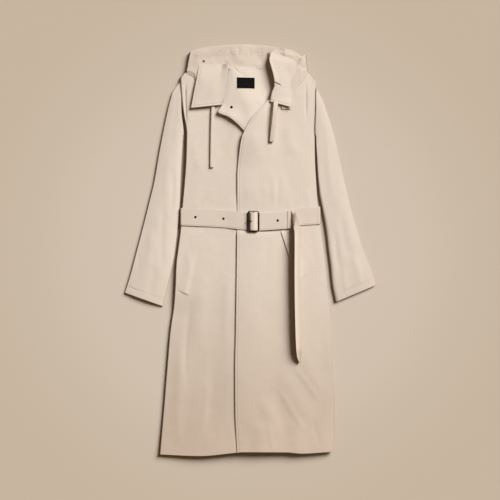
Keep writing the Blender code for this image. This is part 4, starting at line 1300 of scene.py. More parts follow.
@dataclass
class Sleeve:
    """One sleeve: a flat tube from the armhole to the cuff."""

    side: Side
    # rows from the armhole to the cuff
    sections: Rows
    creases: Folds
    # widths of the rounded inner and outer side, heights taken off the crown at each of them
    caps: Span = (7, 1.2)
    lowered: Span = (0.5, 0.5)
    # gap to the body at the armhole, how much wider it is below, and where up the coat it narrows
    gap: float = 0.7
    parted: float = 1.8
    gap_zone: Span = (400, 510)
    # share of the length over which the end follows the body's edge, and where up the coat
    seam_share: float = 0.16
    seam_zone: Span = (362, 370)
    rows: int = 150
    over_count: int = 42
    under_count: int = 28
    cap_count: int = 10

    def section(self, wide: Array) -> Pair:
        """Once round the tube: over the top, down the outer side, back under, up the inner side.

        Both sides are half an ellipse, as wide as their cap and as high as the tube.

        Args:
            wide: the tube's width at each row, rows by one.

        Returns:
            Share across from the inner to the outer side, and share of the height.
        """
        inner, outer = (cap / wide for cap in self.caps)
        over = eased(self.over_count, 0.85)[None, :]
        under = np.linspace(1, 0, self.under_count)[None, :]
        turn = np.linspace(0, np.pi, self.cap_count + 2)[None, 1:-1]
        flat = 1 - inner - outer
        across = [
            inner + flat * over, 1 - outer * (1 - np.sin(turn)),
            inner + flat * under, inner * (1 - np.sin(turn)),
        ]
        rise = 0.5 + 0.5 * np.cos(turn)
        high = [np.ones_like(over), rise, np.zeros_like(under), 1 - rise]
        high = [np.broadcast_to(h, a.shape) for h, a in zip(high, across)]
        return np.concatenate(across, axis=1), np.concatenate(high, axis=1)

    def shell(self) -> Shell:
        """The tube: flat underneath, softly arched on top, with upright sides.

        The crown's height falls to each side by its own amount with the square of the distance
        from the middle. Near the armhole the end follows the body's side edge.

        Returns:
            The cloth.
        """
        at = eased(self.rows, 0.5)[:, None]
        columns = (column(self.sections, at, k) for k in range(5))
        inner_x, inner_y, outer_x, outer_y, crown = columns
        share, part = self.section(np.hypot(outer_x - inner_x, outer_y - inner_y))
        x = inner_x + (outer_x - inner_x) * share
        y = inner_y + (outer_y - inner_y) * share
        edge = FORM.left(y) if self.side is Side.LEFT else FORM.right(y)
        gap = self.gap + self.parted * (1 - between(y, *self.gap_zone))
        seam = edge + self.side.value * gap
        near = 1 - step(at / self.seam_share)
        x = x + (seam - x) * near * between(y, *self.seam_zone)
        off = 2 * share - 1
        inner = self.lowered[0] + 1.6 * near
        lower = np.where(off < 0, inner * np.abs(off) ** 2.6, self.lowered[1] * off**2)
        ripple = folded(self.creases, x, y) + 0.8 * sway(x * 1.3 + 40, y * 1.1)
        over = crown - lower + ripple * (1 - off**4) * step(at / 0.05)
        name = f"sleeve_{self.side.word}_cloth"
        shell = Shell(name, stacked(x, y, over * part), above=0, ring=True)
        return hemmed(shell, (Edge.END,))

    def build(self) -> None:
        """Make and dress the sleeve and its cuff sewing."""
        shell = self.shell()
        word = self.side.word
        nodes = (f"sleeve_{word}", f"sleeve_{word}_under")
        lay(shell, COAT, nodes)
        points, upright = shell.line(Edge.END, CUFF_ROW)
        shown = slice(0, self.over_count)
        sewn(f"cuff_sewing_{word}", [(points[shown], upright[shown])])


@dataclass
class Neck:
    """Throat facing with the back neck, its label and its snap."""

    label_size: Span = (56, 34)
    label_centre: Span = (-13.4, 532.4)
    # heights of the label's and the snap's foot over the facing's middle
    label_lift: float = 1.35
    snap_lift: float = 0.85
    snap_centre: Span = (-58.9, 454.4)
    # from where to where up the coat the facing runs, and where its sewing goes out of sight
    reach: Span = (372, 585)
    sewn_to: float = 446.0
    pinches: Folds = (
        Fold(-53, 583, -31, 560, 2.2, -0.9, 0, 0.3, 0.2), Fold(-30, 566, -10, 548, 6, -0.8),
        Fold(-36, 470, 20, 420, 26, -0.9, 6), Fold(20, 470, 60, 500, 16, 1, 4),
    )

    def mid(self, x: Array, y: Array) -> Array:
        """Height of the facing: the form's, its pinched creases, and two bells at its point."""
        up = 2.4 * bell(np.hypot(x + 100, y - 440), 16) + 3.4 * bell(np.hypot(x + 64, y - 418), 26)
        return FORM.facing_mid(x, y) + folded(self.pinches, x, y) + up

    def facing(self) -> Shell:
        """Facing from its free edge, over the roll, to its hidden edge under the right front.

        Returns:
            The cloth.
        """
        y = self.reach[0] + (self.reach[1] - self.reach[0]) * eased(150, 0.3)[:, None]
        free, hidden = track(FORM.facing, y, 1), track(FORM.facing, y, 3)
        x = free + (hidden - free) * eased(110, 0.35)[None, :]
        z = self.mid(x, y) + 0.75 * between(y, 570, 578)
        under_leaf = (1 - step((x - free) / 14)) * between(y, 452, 472)
        thin = 1 - 0.85 * np.maximum(between(y, 568, 580), under_leaf)
        shell = Shell("throat_facing", stacked(x, y, z), wall=1.7, thin=thin)
        hemmed(shell, (Edge.FIRST,)).hem += NO_EDGE * under_leaf
        return shell

    def label(self) -> Shell:
        """Bare woven label: flat on the facing, its corners a little up.

        Returns:
            The cloth.
        """
        u = np.linspace(-0.5, 0.5, 60)[None, :]
        v = np.linspace(-0.5, 0.5, 40)[:, None]
        x = self.label_centre[0] + self.label_size[0] * u
        y = self.label_centre[1] + self.label_size[1] * v
        corner = np.abs(2 * u) ** 6 * np.abs(2 * v) ** 6
        rib = 0.08 * np.sin(np.pi * v * 34)
        z = FORM.facing_mid(x, y) + self.label_lift + 0.5 * corner + rib
        shell = Shell("neck_label_woven", stacked(x, y, z), wall=0.7)
        return hemmed(shell, (Edge.START, Edge.END, Edge.FIRST, Edge.LAST))

    def build(self) -> None:
        """Make and dress the facing, label and snap."""
        facing = self.facing()
        nodes = ("facing_left", "facing_neck")
        lay(facing, COAT_SEWN, nodes)
        points, upright = facing.line(Edge.FIRST, EDGE_ROW)
        shown = points[:, 1] < self.sewn_to
        sewn("facing_sewing", [(points[shown], upright[shown])])
        label = self.label()
        lay(label, WOVEN_BLACK, ("neck_label",))
        x, y = self.snap_centre
        foot = float(FORM.facing_mid(np.array(x), np.array(y))) + self.snap_lift
        profile = ((0.05, -0.2), (3.4, -0.2), (4.2, 0), (4.4, 0.45), (3.9, 0.95), (3.1, 1.05),
                   (2.6, 0.7), (2.2, 0.62), (1.9, 1.3), (1.4, 1.75), (0.6, 1.9), (0.05, 1.92))
        snap = turned("throat_snap_stud", profile, (x, y, foot))
        dress(snap, BRASSY, ("throat_snap",))


@dataclass
class Collar:
    """The two collar leaves and the stand under the right one."""

    wall: float = 2.0
    # outer edge x, y, z and inner edge x, y, z, from the points of the leaf up to the neck
    left: Rows = (
        (-187, 453, 21, -88.8, 463, 20), (-182, 480, 19.8, -84, 483, 19.1),
        (-175, 518, 18.6, -76.6, 520, 19), (-168, 553, 17, -70.6, 553, 17.8),
        (-162, 592, 14.3, -66.8, 592, 14.2),
    )
    right: Rows = (
        (129.3, 456, 20.4, 64, 473, 20.5), (134, 487, 16.2, 68.5, 498, 20.8),
        (137, 515, 15.6, 77, 521, 21.2), (139, 526, 15.4, 78, 530, 22),
        (141, 540, 15.3, 75.6, 547, 22.8), (146, 563, 15.2, 67.6, 580, 23),
        (149.5, 588, 15, 61.5, 606, 22.3), (142, 607, 15, 66.6, 631, 19),
    )
    # y on the crest, width of the bright roll behind it
    roll: Rows = ((470, 4), (518, 5), (527, 16.5), (560, 16), (600, 9), (631, 4))
    # y, x, foot and top of the stand
    stand: Rows = (
        (499, 74.5, 7, 18.2), (527, 83, 7, 18.8), (547, 80.5, 7, 19.8), (580, 72.5, 9.2, 20.2),
        (606, 66.5, 9.2, 19.4), (618, 68.5, 9.8, 17.8),
    )
    left_folds: Folds = (
        Fold(-84, 570, -63, 588, 2.2, -1.2, 0, 0.3, 0.2), Fold(-130, 560, -110, 480, 24, 0.7, 5),
        Fold(-98, 480, -90, 560, 12, -0.5, 2), Fold(-160, 480, -150, 560, 14, 0.5, 3),
    )
    right_folds: Folds = (
        Fold(79, 532, 97, 524, 2.2, -2.6, 0, 0.4, 0.5), Fold(112, 500, 124, 580, 16, -0.8, 5),
    )

    def leaf_left(self) -> Shell:
        """Left leaf: straight from outer to inner edge, barely crowned, its point a little up.

        Returns:
            The cloth.
        """
        at, share = eased(80, 0.4)[:, None], eased(70, 0.4)[None, :]
        ends = [column(self.left, at, k) for k in range(6)]
        x, y, z = (ends[k] + (ends[k + 3] - ends[k]) * share for k in range(3))
        z = z + 0.5 * np.sin(np.pi * share) + folded(self.left_folds, x, y)
        thin = 1 - 0.8 * np.maximum(between(y, 560, 588), between(share, 0.78, 0.94))
        flush = between(share, 0.74, 0.97) * between(y, 462, 478)
        z = z + (FORM.facing_mid(x, y) + 0.95 - z) * flush
        shell = Shell("collar_leaf_left", stacked(x, y, z), wall=self.wall, thin=thin)
        return hemmed(shell, (Edge.START, Edge.FIRST))

    def leaf_right(self) -> Shell:
        """Right leaf: a tight roll behind its crest, then a long easy fall to its outer edge.

        From the crest the height drops by a quarter of a sine over the roll's width and then
        by a straight line eased at its end.

        Returns:
            The cloth.
        """
        at, share = eased(130, 0.3)[:, None], eased(110, 0.55)[None, :]
        ends = [column(self.right, at, k) for k in range(6)]
        x, y = (ends[k] + (ends[k + 3] - ends[k]) * share for k in range(2))
        width = np.hypot(ends[3] - ends[0], ends[4] - ends[1])
        back = (1 - share) * width
        roll = track(self.roll, ends[4], 1)
        drop = np.maximum(ends[5] - ends[2], 0)
        near = np.clip(back / roll, 0, 1)
        far = np.clip((back - roll) / np.maximum(width - roll, 1), 0, 1)
        steep = 0.34 * between(ends[4], 515, 532)
        fall = steep * near**1.6 + (1 - steep) * (0.65 * far + 0.35 * step(far))
        edge = 1.6 * (1 - quarter_round(back, 3.5))
        z = ends[5] - drop * fall - edge + folded(self.right_folds, x, y)
        z = z + (ends[2] - ends[5]) * np.where(drop > 0, 0, 1) * far
        flush = between(y, 470, 500)
        outer = 1 - step((width - back) / 22)
        top = between(at, 0.84, 0.99)
        thin = 1 - 0.85 * np.maximum(outer * flush, top)
        shell = Shell("collar_leaf_right", stacked(x, y, z), wall=self.wall, thin=thin)
        return hemmed(shell, (Edge.START,))

    def stand_shell(self) -> Shell:
        """Stand: a nearly upright band from the neck up to the crest.

        Returns:
            The cloth.
        """
        y = np.linspace(self.stand[0][0], self.stand[-1][0], 60)[:, None]
        x, foot, top = (track(self.stand, y, k) for k in (1, 2, 3))
        share = np.linspace(0, 1, 20)[None, :]
        x = x - 3 * (1 - share) ** 2 + 1.5 * np.sin(np.pi * share)
        return Shell("collar_stand_cloth", stacked(x, y, foot + (top - foot) * share))

    def build(self) -> None:
        """Make and dress the leaves, the stand and their sewing."""
        rows = []
        for shell, side in ((self.leaf_left(), Side.LEFT), (self.leaf_right(), Side.RIGHT)):
            nodes = (f"collar_{side.word}",)
            lay(shell, COAT_SEWN, nodes)
            rows.append(shell.line(Edge.START, EDGE_ROW))
            if side is Side.LEFT:
                rows.append(shell.line(Edge.FIRST, EDGE_ROW))
        sewn("collar_sewing", rows)
        stand = self.stand_shell()
        lay(stand, COAT, ("collar_stand",))


@dataclass
class Hood:
    """Hood folded flat behind the neck: one cloth round its rim, with a drawcord tunnel."""

    join_y: float = 578.3
    tunnel: float = 28.0
    edge_height: float = 13.3
    left_low: float = -205.0
    left_high: float = -194.0
    right_low: float = 184.0
    right_high: float = 179.0
    # rows of points over which the top layer thins out
    thinned: int = 14
    # the row of sewing past the tunnel, from where to where across it shows, and the eyelet
    sewing_past: float = 3.2
    sewing_span: Span = (-180, 160)
    eyelet_place: Span = (-147.5, 602)
    # x, y of the rim, height where the top layer meets the neck
    rim: Rows = (
        (-200, 626, 8.5), (-194, 630, 11.5), (-184, 637, 13.6), (-150, 645.5, 14.4),
        (-116, 651, 14.4), (-60, 655, 14.6), (-18, 656, 12), (20, 654.5, 8.2), (59, 651, 6.8),
        (88, 647, 8), (121, 641, 13.6), (149, 629, 14.4), (158, 621, 13.6), (163, 619, 12.5),
        (176, 623, 10.5), (181, 616, 7),
    )
    # x, y where the top layer ends
    foot: Rows = (
        (-205, 571), (-190, 562.5), (-178, 556), (-170, 550), (-165, 525), (-150, 470), (-100, 457),
        (-86, 530), (-77, 578), (91, 578), (94, 520), (100, 449), (128, 449), (136, 490),
        (150, 520), (172, 548), (184, 571),
    )
    # x, rise towards the right collar leaf
    under_leaf: Rows = ((54, 0), (64, 5.5), (80, 5.5), (100, 3.5), (142, 0.8), (165, 0))
    folds: Folds = (
        Fold(-92, 637, -119, 606, 3.4, -0.9, 2), Fold(-66, 646, -62, 622, 3, -0.6, 1),
        Fold(-36, 648, -38, 618, 3.2, -0.7, -1), Fold(1, 646, -1, 622, 3, -0.8, 1),
        Fold(34, 648, 38, 622, 3.4, -0.4, 1), Fold(163, 610, 136, 576, 3.2, -1.6, 2),
        Fold(140, 620, 158, 603, 2.8, -0.5), Fold(-50, 640, -22, 596, 14, 1.2, 4),
        Fold(-140, 640, -170, 590, 12, 0.9, 4), Fold(20, 640, 44, 596, 16, -1.2, 4),
        Fold(-120, 600, -96, 572, 10, 0.8, 2), Fold(110, 632, 96, 590, 10, -0.8, 2),
        Fold(-170, 622, -196, 590, 8, -1, 2), Fold(-84, 600, -66, 586, 5, -1.2),
    )

    def gathers(self, x: Array, depth: Array) -> Array:
        """Small puckers across the tunnel: a wave of uneven pitch, deepest at the tunnel's seam.

        Args:
            x: places across.
            depth: distance in from the rim.

        Returns:
            Heights.
        """
        wave = np.sin(x / 3.1 + 1.9 * np.sin(x / 23)) * (0.6 + 0.4 * np.sin(x / 37 + 1))
        return 0.05 * wave * bell(depth - self.tunnel, 13)

    def top(self, x: Array, y: Array, rim: Array, join: Array) -> Array:
        """Height of the top layer.

        It swells over the tunnel by half a sine, dips by a bell at the tunnel's seam, and
        eases to its joining height by a smooth step; past the shoulder it rests on the front.

        Args:
            x: places across.
            y: places along.
            rim: the rim's y at each place.
            join: the joining height at each place.

        Returns:
            Heights.
        """
        depth = rim - y
        edge = np.minimum(self.edge_height, join + 0.8)
        fall = step((depth - self.tunnel) / np.maximum(rim - self.tunnel - self.join_y, 8))
        swell = 0.3 * np.sin(np.pi * np.clip(depth / self.tunnel, 0, 1))
        seam = 0.12 * bell(depth - self.tunnel, 2) * between(x, -190, -178)
        high = edge - 0.75 + (join - edge) * fall + swell - seam
        high = high + folded(self.folds, x, y) + self.gathers(x, depth)
        lean = 24 * (1 - step(depth / 26))
        high = high + track(self.under_leaf, x - lean, 1) * step(depth / 24)
        rest = FORM.front_top(x, np.minimum(y, 560)) + FORM.layer_gap + FORM.cloth
        lying = np.maximum(rest, np.minimum(join, 13.7))
        past = between(y, 570, 584)
        return np.where(np.abs(x) < 76, high, high * past + lying * (1 - past))

    def shell(self) -> Shell:
        """The hood's cloth: bottom layer, half a circle round the rim, top layer.

        Each column is a path in its own upright plane; the two outer columns lean so that the
        ends follow the hood's slanting sides.

        Returns:
            The cloth.
        """
        share = eased(230, 0.45)[None, :]
        x = self.left_high + (self.right_high - self.left_high) * share
        rim, join = track(self.rim, x, 1), track(self.rim, x, 2)
        ends = np.minimum(step(share / 0.012 + 0.25), step((1 - share) / 0.012 + 0.25))
        height = (np.minimum(self.edge_height, join + 0.8) - 1.5) * ends + 0.3
        radius = height / 2
        low_y = self.join_y + (rim - radius - self.join_y) * np.linspace(0, 1, 14)[:, None]
        half = FORM.cloth / 2
        low_z = np.full_like(low_y, half)
        turn = np.linspace(-math.pi / 2, math.pi / 2, 15)[1:-1, None]
        square = np.sign(np.sin(turn)) * np.abs(np.sin(turn)) ** 0.35
        round_y = rim - radius + radius * np.cos(turn) ** 0.35
        round_z = half + radius * (1 + square)
        run = np.linspace(0, 1, 96)[:, None] ** 1.15
        foot = track(self.foot, x, 1)
        high_y = rim - radius + (foot - rim + radius) * run
        high_z = self.top(x, high_y, rim, join)
        start = half + height
        high_z = start + (high_z - start) * step((rim - high_y) / 16)
        high_z = 1.9 + (high_z - 1.9) * np.maximum(ends, between(-high_y, -578, -560))
        y = np.concatenate([low_y, round_y, high_y])
        z = np.concatenate([low_z, round_z, high_z])
        lean = 1 - np.clip((y - 571.5) / 56, 0, 1)
        left = (self.left_low - self.left_high) * lean * (1 - share) ** 5
        right = (self.right_low - self.right_high) * lean * share**5
        thin = np.ones_like(z)
        thin[-self.thinned:] = np.linspace(1, 0.35, self.thinned)[:, None]
        corner = between(np.arange(len(z))[:, None], len(z) - 18, len(z) - 1)
        corner = corner * between(-x, 156, 172)
        z, thin = z - 1.3 * corner, thin * (1 - 0.7 * corner)
        shell = Shell("hood_cloth", stacked(x + left + right, y, z), thin=thin)
        return hemmed(shell, (Edge.END,))

    def build(self) -> None:
        """Make and dress the hood, the tunnel's sewing and the eyelet."""
        shell = self.shell()
        nodes = ("hood_back", "hood_rim", "hood_side_left", "hood_side_right")
        lay(shell, HOOD_PAINTED_SHADE, nodes)
        x = np.linspace(*self.sewing_span, 240)
        rim, join = track(self.rim, x, 1), track(self.rim, x, 2)
        y = rim - self.tunnel - self.sewing_past
        points = stacked(x, y, self.top(x, y, rim, join) + FORM.cloth / 2)
        upright = np.broadcast_to([0, 0, 1], points.shape)
        sewn("hood_sewing", [(points, upright)])
        x, y = (np.array([v]) for v in self.eyelet_place)
        high = self.top(x, y, track(self.rim, x, 1), track(self.rim, x, 2))
        place = (*self.eyelet_place, float(high[0]) + FORM.cloth / 2)
        eyelet("hood_eyelet_ring", place, ("hood_eyelet",), WORN_BRASS)


def eyelet(name: str, place: Place, nodes: Names, finish: MetalFinish) -> Item:
    """Small pressed ring with a well in it, turned from its profile.

    Args:
        name: the piece's name.
        place: middle of its foot (mm).
        nodes: CAD nodes it stands for.
        finish: its metal.

    Returns:
        The piece.
    """
    profile = ((0.05, -0.3), (2.6, -0.3), (3.7, -0.1), (3.9, 0.2), (3.7, 0.5), (3.3, 0.6),
               (3, 0.55), (2.7, 0.4), (2.5, 0.3), (2.2, 0.25), (0.8, 0.22), (0.05, 0.21))
    return dress(turned(name, profile, place), finish, nodes)


@dataclass
class Drawcord:
    """One flat drawcord, from under the collar to its free end."""

    side: Side
    width: float
    tilt: float
    # x, y and extra height, downwards
    route: Rows
    thick: float = 3.6

    def line(self, count: int) -> Array:
        """Middle of the cord: its route smoothed by a monotone cubic, laid on the front.

        Args:
            count: how many points.

        Returns:
            Points (mm).
        """
        y = np.linspace(self.route[0][1], self.route[-1][1], count)
        x, lift = (track(self.route[::-1], y, k, 1) for k in (0, 2))
        wide = np.linspace(-0.5, 0.5, 5)[None, :] * self.width
        rest = np.max(FORM.front_top(x[:, None] + wide, y[:, None]), axis=1)
        rise = self.width / 2 * math.sin(self.tilt)
        return stacked(x, y, rest + FORM.layer_gap + self.thick / 2 + lift + rise)

    def build(self) -> None:
        middle = self.line(110)
        across = np.linspace(-0.5, 0.5, 16)[None, :]
        flat = across * (self.width - self.thick)
        x = middle[:, :1] + flat * math.cos(self.tilt)
        z = middle[:, 2:] - flat * math.sin(self.tilt)
        z = z + 0.05 * np.cos(2 * np.pi * across) * self.thick
        points = stacked(x, middle[:, 1:2], z)
        word = self.side.word
        shell = Shell(f"drawcord_{word}_tape", points[::-1], wall=self.thick)
        item = dress(shell.build(), TAPE, (f"drawcord_{word}",))
        length = float(np.linalg.norm(np.diff(middle, axis=0), axis=1).sum()) * MM


@dataclass
class Belt:
    """Belt: its fastened run with the hanging end, its buckle side run, its back run, keeper."""

    edge_left: float = -221.0
    edge_right: float = 222.0
    front_x: tuple[float, ...] = (-213, -190, -150, -110, -84, -34, -22)
    over_buckle: Rows = (
        (-8.3, 16.2), (-5.2, 16.4), (-2.6, 16.9), (-1, 18.2), (1.4, 21.6), (4.6, 22.7), (10, 23.1),
        (14.5, 22.6), (19.6, 20.3), (25.4, 17.3), (28.5, 16.9),
    )
    right_x: tuple[float, ...] = (40, 60, 88, 116, 130)
    under_buckle: Rows = ((6, 17.2), (13, 17), (20, 15.4))
    buckle_x: tuple[float, ...] = (28.5, 60, 100, 136, 150, 190, 218)
    # how far up the plan the buckle side run strays just past the hanging end
    stray: float = 6.5
    # inner edge x, y, outer edge x, y, height of the edges, height of the curl over them
    tail: Rows = (
        (132.4, 69.6, 132.4, 124.4, 15.6, 0), (134.6, 69.8, 137.4, 121.6, 17, 4.6),
        (138.6, 67.4, 148, 114, 18, 10.5), (141.4, 57, 157.4, 88, 18, 13.5),
        (141.6, 42, 159, 60, 17.4, 16.5), (141.6, 15, 158.6, 22, 17, 18),
        (141.2, -60, 158.2, -60, 17, 18), (141.8, -150, 159, -150, 15.4, 19),
        (143.6, -240, 161.6, -240, 15.4, 19), (146.2, -310, 163.6, -310, 15.4, 17.5),
        (149.5, -340, 162.5, -340, 16, 11), (155, -358, 159, -358, 17, 3),
    )
    eyelets: Rows = ((-173.8, 105, 0), (-84.5, 100, 0), (88.3, 94, 1))
    keeper_x: Span = (120, 130)
    keeper_clear: float = 0.8
    keeper_bend: float = 1.6
    # where curled: share of the section that stands upright on each side, fall across its top
    upright: float = 0.24
    slope: float = 7.0
    # height of the curl from which the belt counts as curled
    full_curl: float = 12.0

    def turn(self, edge: float, side: float) -> list[Span]:
        """Path of the belt round a side of the coat, from below up to the front.

        Args:
            edge: the coat's edge there.
            side: -1 on the left, 1 on the right.

        Returns:
            Points of x and height.
        """
        out = edge + side * (FORM.cloth / 2 + FORM.layer_gap + FORM.strap / 2)
        top = float(FORM.belt_mid(np.array([edge - side * 14]), 0)[0])
        corner = (out - side * 1.4, top - 1.8)
        return [(out, 3), (out, 7.6), corner, (out - side * 4, top - 0.2)]

    def laid(self, x: tuple[float, ...], layer: int) -> list[Span]:
        """Points of a belt layer lying on the coat."""
        return list(zip(x, FORM.belt_mid(np.array(x, dtype=float), layer).tolist()))

    def band(self, path: list[Span], straight: bool = False) -> Array:
        """Edges of the belt along a path: x, lower y, x, upper y, height, curl.

        Args:
            path: points of x and height.
            straight: whether its centre line is the straight one under the back.

        Returns:
            One row for each point.
        """
        x, z = np.array(path).T
        if straight:
            first, last = FORM.belt_line[0], FORM.belt_line[-1]
            y = np.interp(x, (first[0], last[0]), (first[1], last[1]))
        else:
            y = FORM.belt_y(x)
        half = FORM.belt_width / 2
        return np.stack([x, y - half, x, y + half, z, np.zeros_like(x)], axis=-1)

    def strip(self, name: str, bands: Array, count: int) -> Shell:
        """Cloth of a belt stretch: straight across between its edges, plus a curl.

        Rows are spaced evenly by the distance run along the middle and smoothed by a
        monotone cubic; where the belt is curled up its section goes straight up, across with a
        slight fall, and straight down.

        Args:
            name: the piece's name.
            bands: rows of edges, heights and curls.
            count: how many rows of points.

        Returns:
            The cloth.
        """
        middle = np.stack(
            [(bands[:, 0] + bands[:, 2]) / 2, (bands[:, 1] + bands[:, 3]) / 2, bands[:, 4]], -1
        )
        run = lengths(middle[:, None], 0)[:, 0]
        at = np.linspace(0, run[-1], count)
        rows = np.stack([monotone(run, bands[:, k], at) for k in range(6)], axis=-1)[:, :, None]
        share = np.linspace(0, 1, 34)[None, :]
        turn = np.pi * share
        curled = step(rows[:, 5] / self.full_curl)
        across = np.clip((share - self.upright) / (1 - 2 * self.upright), 0, 1)
        arched = 0.25 * across + 0.75 * (0.5 - 0.5 * np.cos(np.pi * across))
        place = share + (arched - share) * curled
        rise = np.clip(np.minimum(share, 1 - share) / self.upright, 0, 1)
        x = rows[:, 0] + (rows[:, 2] - rows[:, 0]) * place
        y = rows[:, 1] + (rows[:, 3] - rows[:, 1]) * place
        z = rows[:, 4] + rows[:, 5] * (rise + (np.sqrt(np.sin(turn)) - rise) * (1 - curled))
        z = z - self.slope * (place - 0.5 * place**2) * curled
        thin = 1 - 0.93 * between(share, 0.84, 1) * (1 - step(rows[:, 5] / 4))
        z = z + 0.5 * (1 - thin) * FORM.strap
        shell = Shell(name, stacked(x, y, z), wall=FORM.strap, thin=thin)
        return hemmed(shell, (Edge.FIRST,))

    def keeper(self) -> Shell:
        """Loop of cloth round both belt layers: up one side, over and down the other.

        Returns:
            The cloth.
        """
        middle = sum(self.keeper_x) / 2
        half = FORM.belt_width / 2 + self.keeper_clear
        foot = float(FORM.under_belt(np.array([middle]))[0]) + FORM.layer_gap
        top = float(FORM.belt_mid(np.array([middle]), 1)[0]) + FORM.strap / 2 + self.keeper_clear
        turn = np.linspace(0, math.pi / 2, 7)
        bend = self.keeper_bend
        side = [(half, foot), (half, (foot + top - bend) / 2)]
        side += [(half - bend + bend * math.cos(a), top - bend + bend * math.sin(a)) for a in turn]
        flat = [(v, top) for v in np.linspace(half - 2.4, 0, 14)]
        path = np.array([(-y, z) for y, z in side + flat] + (side + flat[:-1])[::-1])
        x = np.linspace(*self.keeper_x, 12)[None, :]
        y = FORM.belt_y(x) + path[:, :1]
        shell = Shell("belt_keeper_loop", stacked(x, y, path[:, 1:]), wall=1)
        return hemmed(shell, (Edge.FIRST, Edge.LAST))

    def build(self) -> None:
        """Make and dress the belt's stretches, keeper, eyelets and sewing."""
        path = self.turn(self.edge_left, -1) + self.laid(self.front_x, 0)
        path += list(self.over_buckle) + self.laid(self.right_x, 1)
        bands = np.concatenate([self.band(path), np.array(self.tail)])
        long_run = self.strip("belt_long_run", bands, 460)
        path = list(self.under_buckle) + self.laid(self.buckle_x, 0)
        path += self.turn(self.edge_right, 1)[::-1]
        bands = self.band(path)
        far = np.clip((self.edge_right - bands[:, :1]) / 72, 0, 1)
        bands[:, 1:4:2] += self.stray * between(bands[:, :1], 128, 156) * far
        short_run = self.strip("belt_short_run", bands, 150)
        reach = FORM.cloth / 2 + FORM.layer_gap + FORM.strap
        x = np.linspace(self.edge_left - reach, self.edge_right + reach, 5)
        path = [(at, FORM.strap / 2) for at in x]
        back_run = self.strip("belt_back_strip", self.band(path, straight=True), 120)
        rows = []
        for shell, nodes, under in (
            (long_run, ("belt_front_run", "belt_tail"), "front_left_cloth"),
            (short_run, ("belt_buckle_run",), "front_right_cloth"),
            (back_run, ("belt_back_run",), "pale_floor"),
            (self.keeper(), ("belt_keeper",), "front_right_cloth"),
        ):
            lay(shell, BELT_PAINTED_SHADE, nodes)
            if shell.wall == FORM.strap and shell is not back_run:
                rows.append(shell.line(Edge.FIRST, BELT_ROW))
        sewn("belt_sewing", rows, 3, 0.3)
        for number, (x, y, layer) in enumerate(self.eyelets, start=1):
            high = float(FORM.belt_mid(np.array([x]), int(layer))[0]) + FORM.strap / 2
            nodes = (f"belt_eyelet_{number}",)
            eyelet(f"belt_eyelet_ring_{number}", (x, y, high), nodes, BRASSY)


@dataclass
class Buckle:
    """Fastened buckle: rounded frame, middle bar, and the prong that shows."""

    centre: Place = (10.1, 91.4, 20)
    size: Span = (36.6, 63.6)
    corner: float = 8.0
    wire: float = 1.9
    # how far the left side lies in from the box and pressed into the belt
    inset: float = 1.6
    sunk: float = 0.8
    # distances from the middle where the left side and the upper side start and are full
    left_side: Span = (8, 16)
    upper_side: Span = (24, 31)
    bar_wire: float = 1.3
    prong: Rows = ((5, 91.9, 24.9), (-2.5, 91.9, 24), (-6.5, 91.8, 23.3), (-10.8, 91.8, 22.6))

    def frame(self) -> Array:
        """Centre line of the frame: four quarter circles joined by straight sides.

        Returns:
            Points (mm).
        """
        half_x, half_y = self.size[0] / 2 - self.corner, self.size[1] / 2 - self.corner
        arcs = []
        for k, (sx, sy) in enumerate(((1, 1), (-1, 1), (-1, -1), (1, -1))):
            angle = (np.linspace(0, 1, 13) + k) * math.pi / 2
            x = sx * half_x + self.corner * np.cos(angle)
            y = sy * half_y + self.corner * np.sin(angle)
            arcs.append(stacked(x, y, 0))
        share = np.linspace(0, 1, 12)[1:-1, None]
        parts = []
        for arc, after in zip(arcs, arcs[1:] + arcs[:1]):
            parts += [arc, arc[-1] + (after[0] - arc[-1]) * share]
        return np.concatenate(parts) + np.array(self.centre)

    def build(self) -> None:
        """Make and dress the frame, bar and prong."""
        path = self.frame()
        middle = np.array(self.centre)
        leftward = between(middle[0] - path[:, 0], *self.left_side)
        upward = between(path[:, 1] - middle[1], *self.upper_side) * (1 - leftward)
        radius = self.wire * (1 + 0.4 * leftward - 0.35 * upward)
        path[:, 0] += (radius - self.wire + self.inset) * leftward
        path[:, 2] -= self.sunk * leftward
        frame_wire = tube("buckle_frame_wire", path, radius, True, 0.85, 20)
        dress(frame_wire, BRONZE, ("buckle_frame",))
        reach = self.size[1] / 2 - self.wire - 0.2
        bar = stacked(0, np.linspace(-reach, reach, 24), 0) + middle
        bar_rod = tube("buckle_bar_rod", bar, np.full(len(bar), self.bar_wire))
        dress(bar_rod, BRONZE, ("buckle_bar",))
        path = stacked(*(column(self.prong, np.linspace(0, 1, 26), k) for k in range(3)))
        radius = np.linspace(1.5, 1.05, len(path))
        tip = tube("buckle_prong_tip", path, radius, False, 0.8)
        dress(tip, BRONZE, ("buckle_prong",))


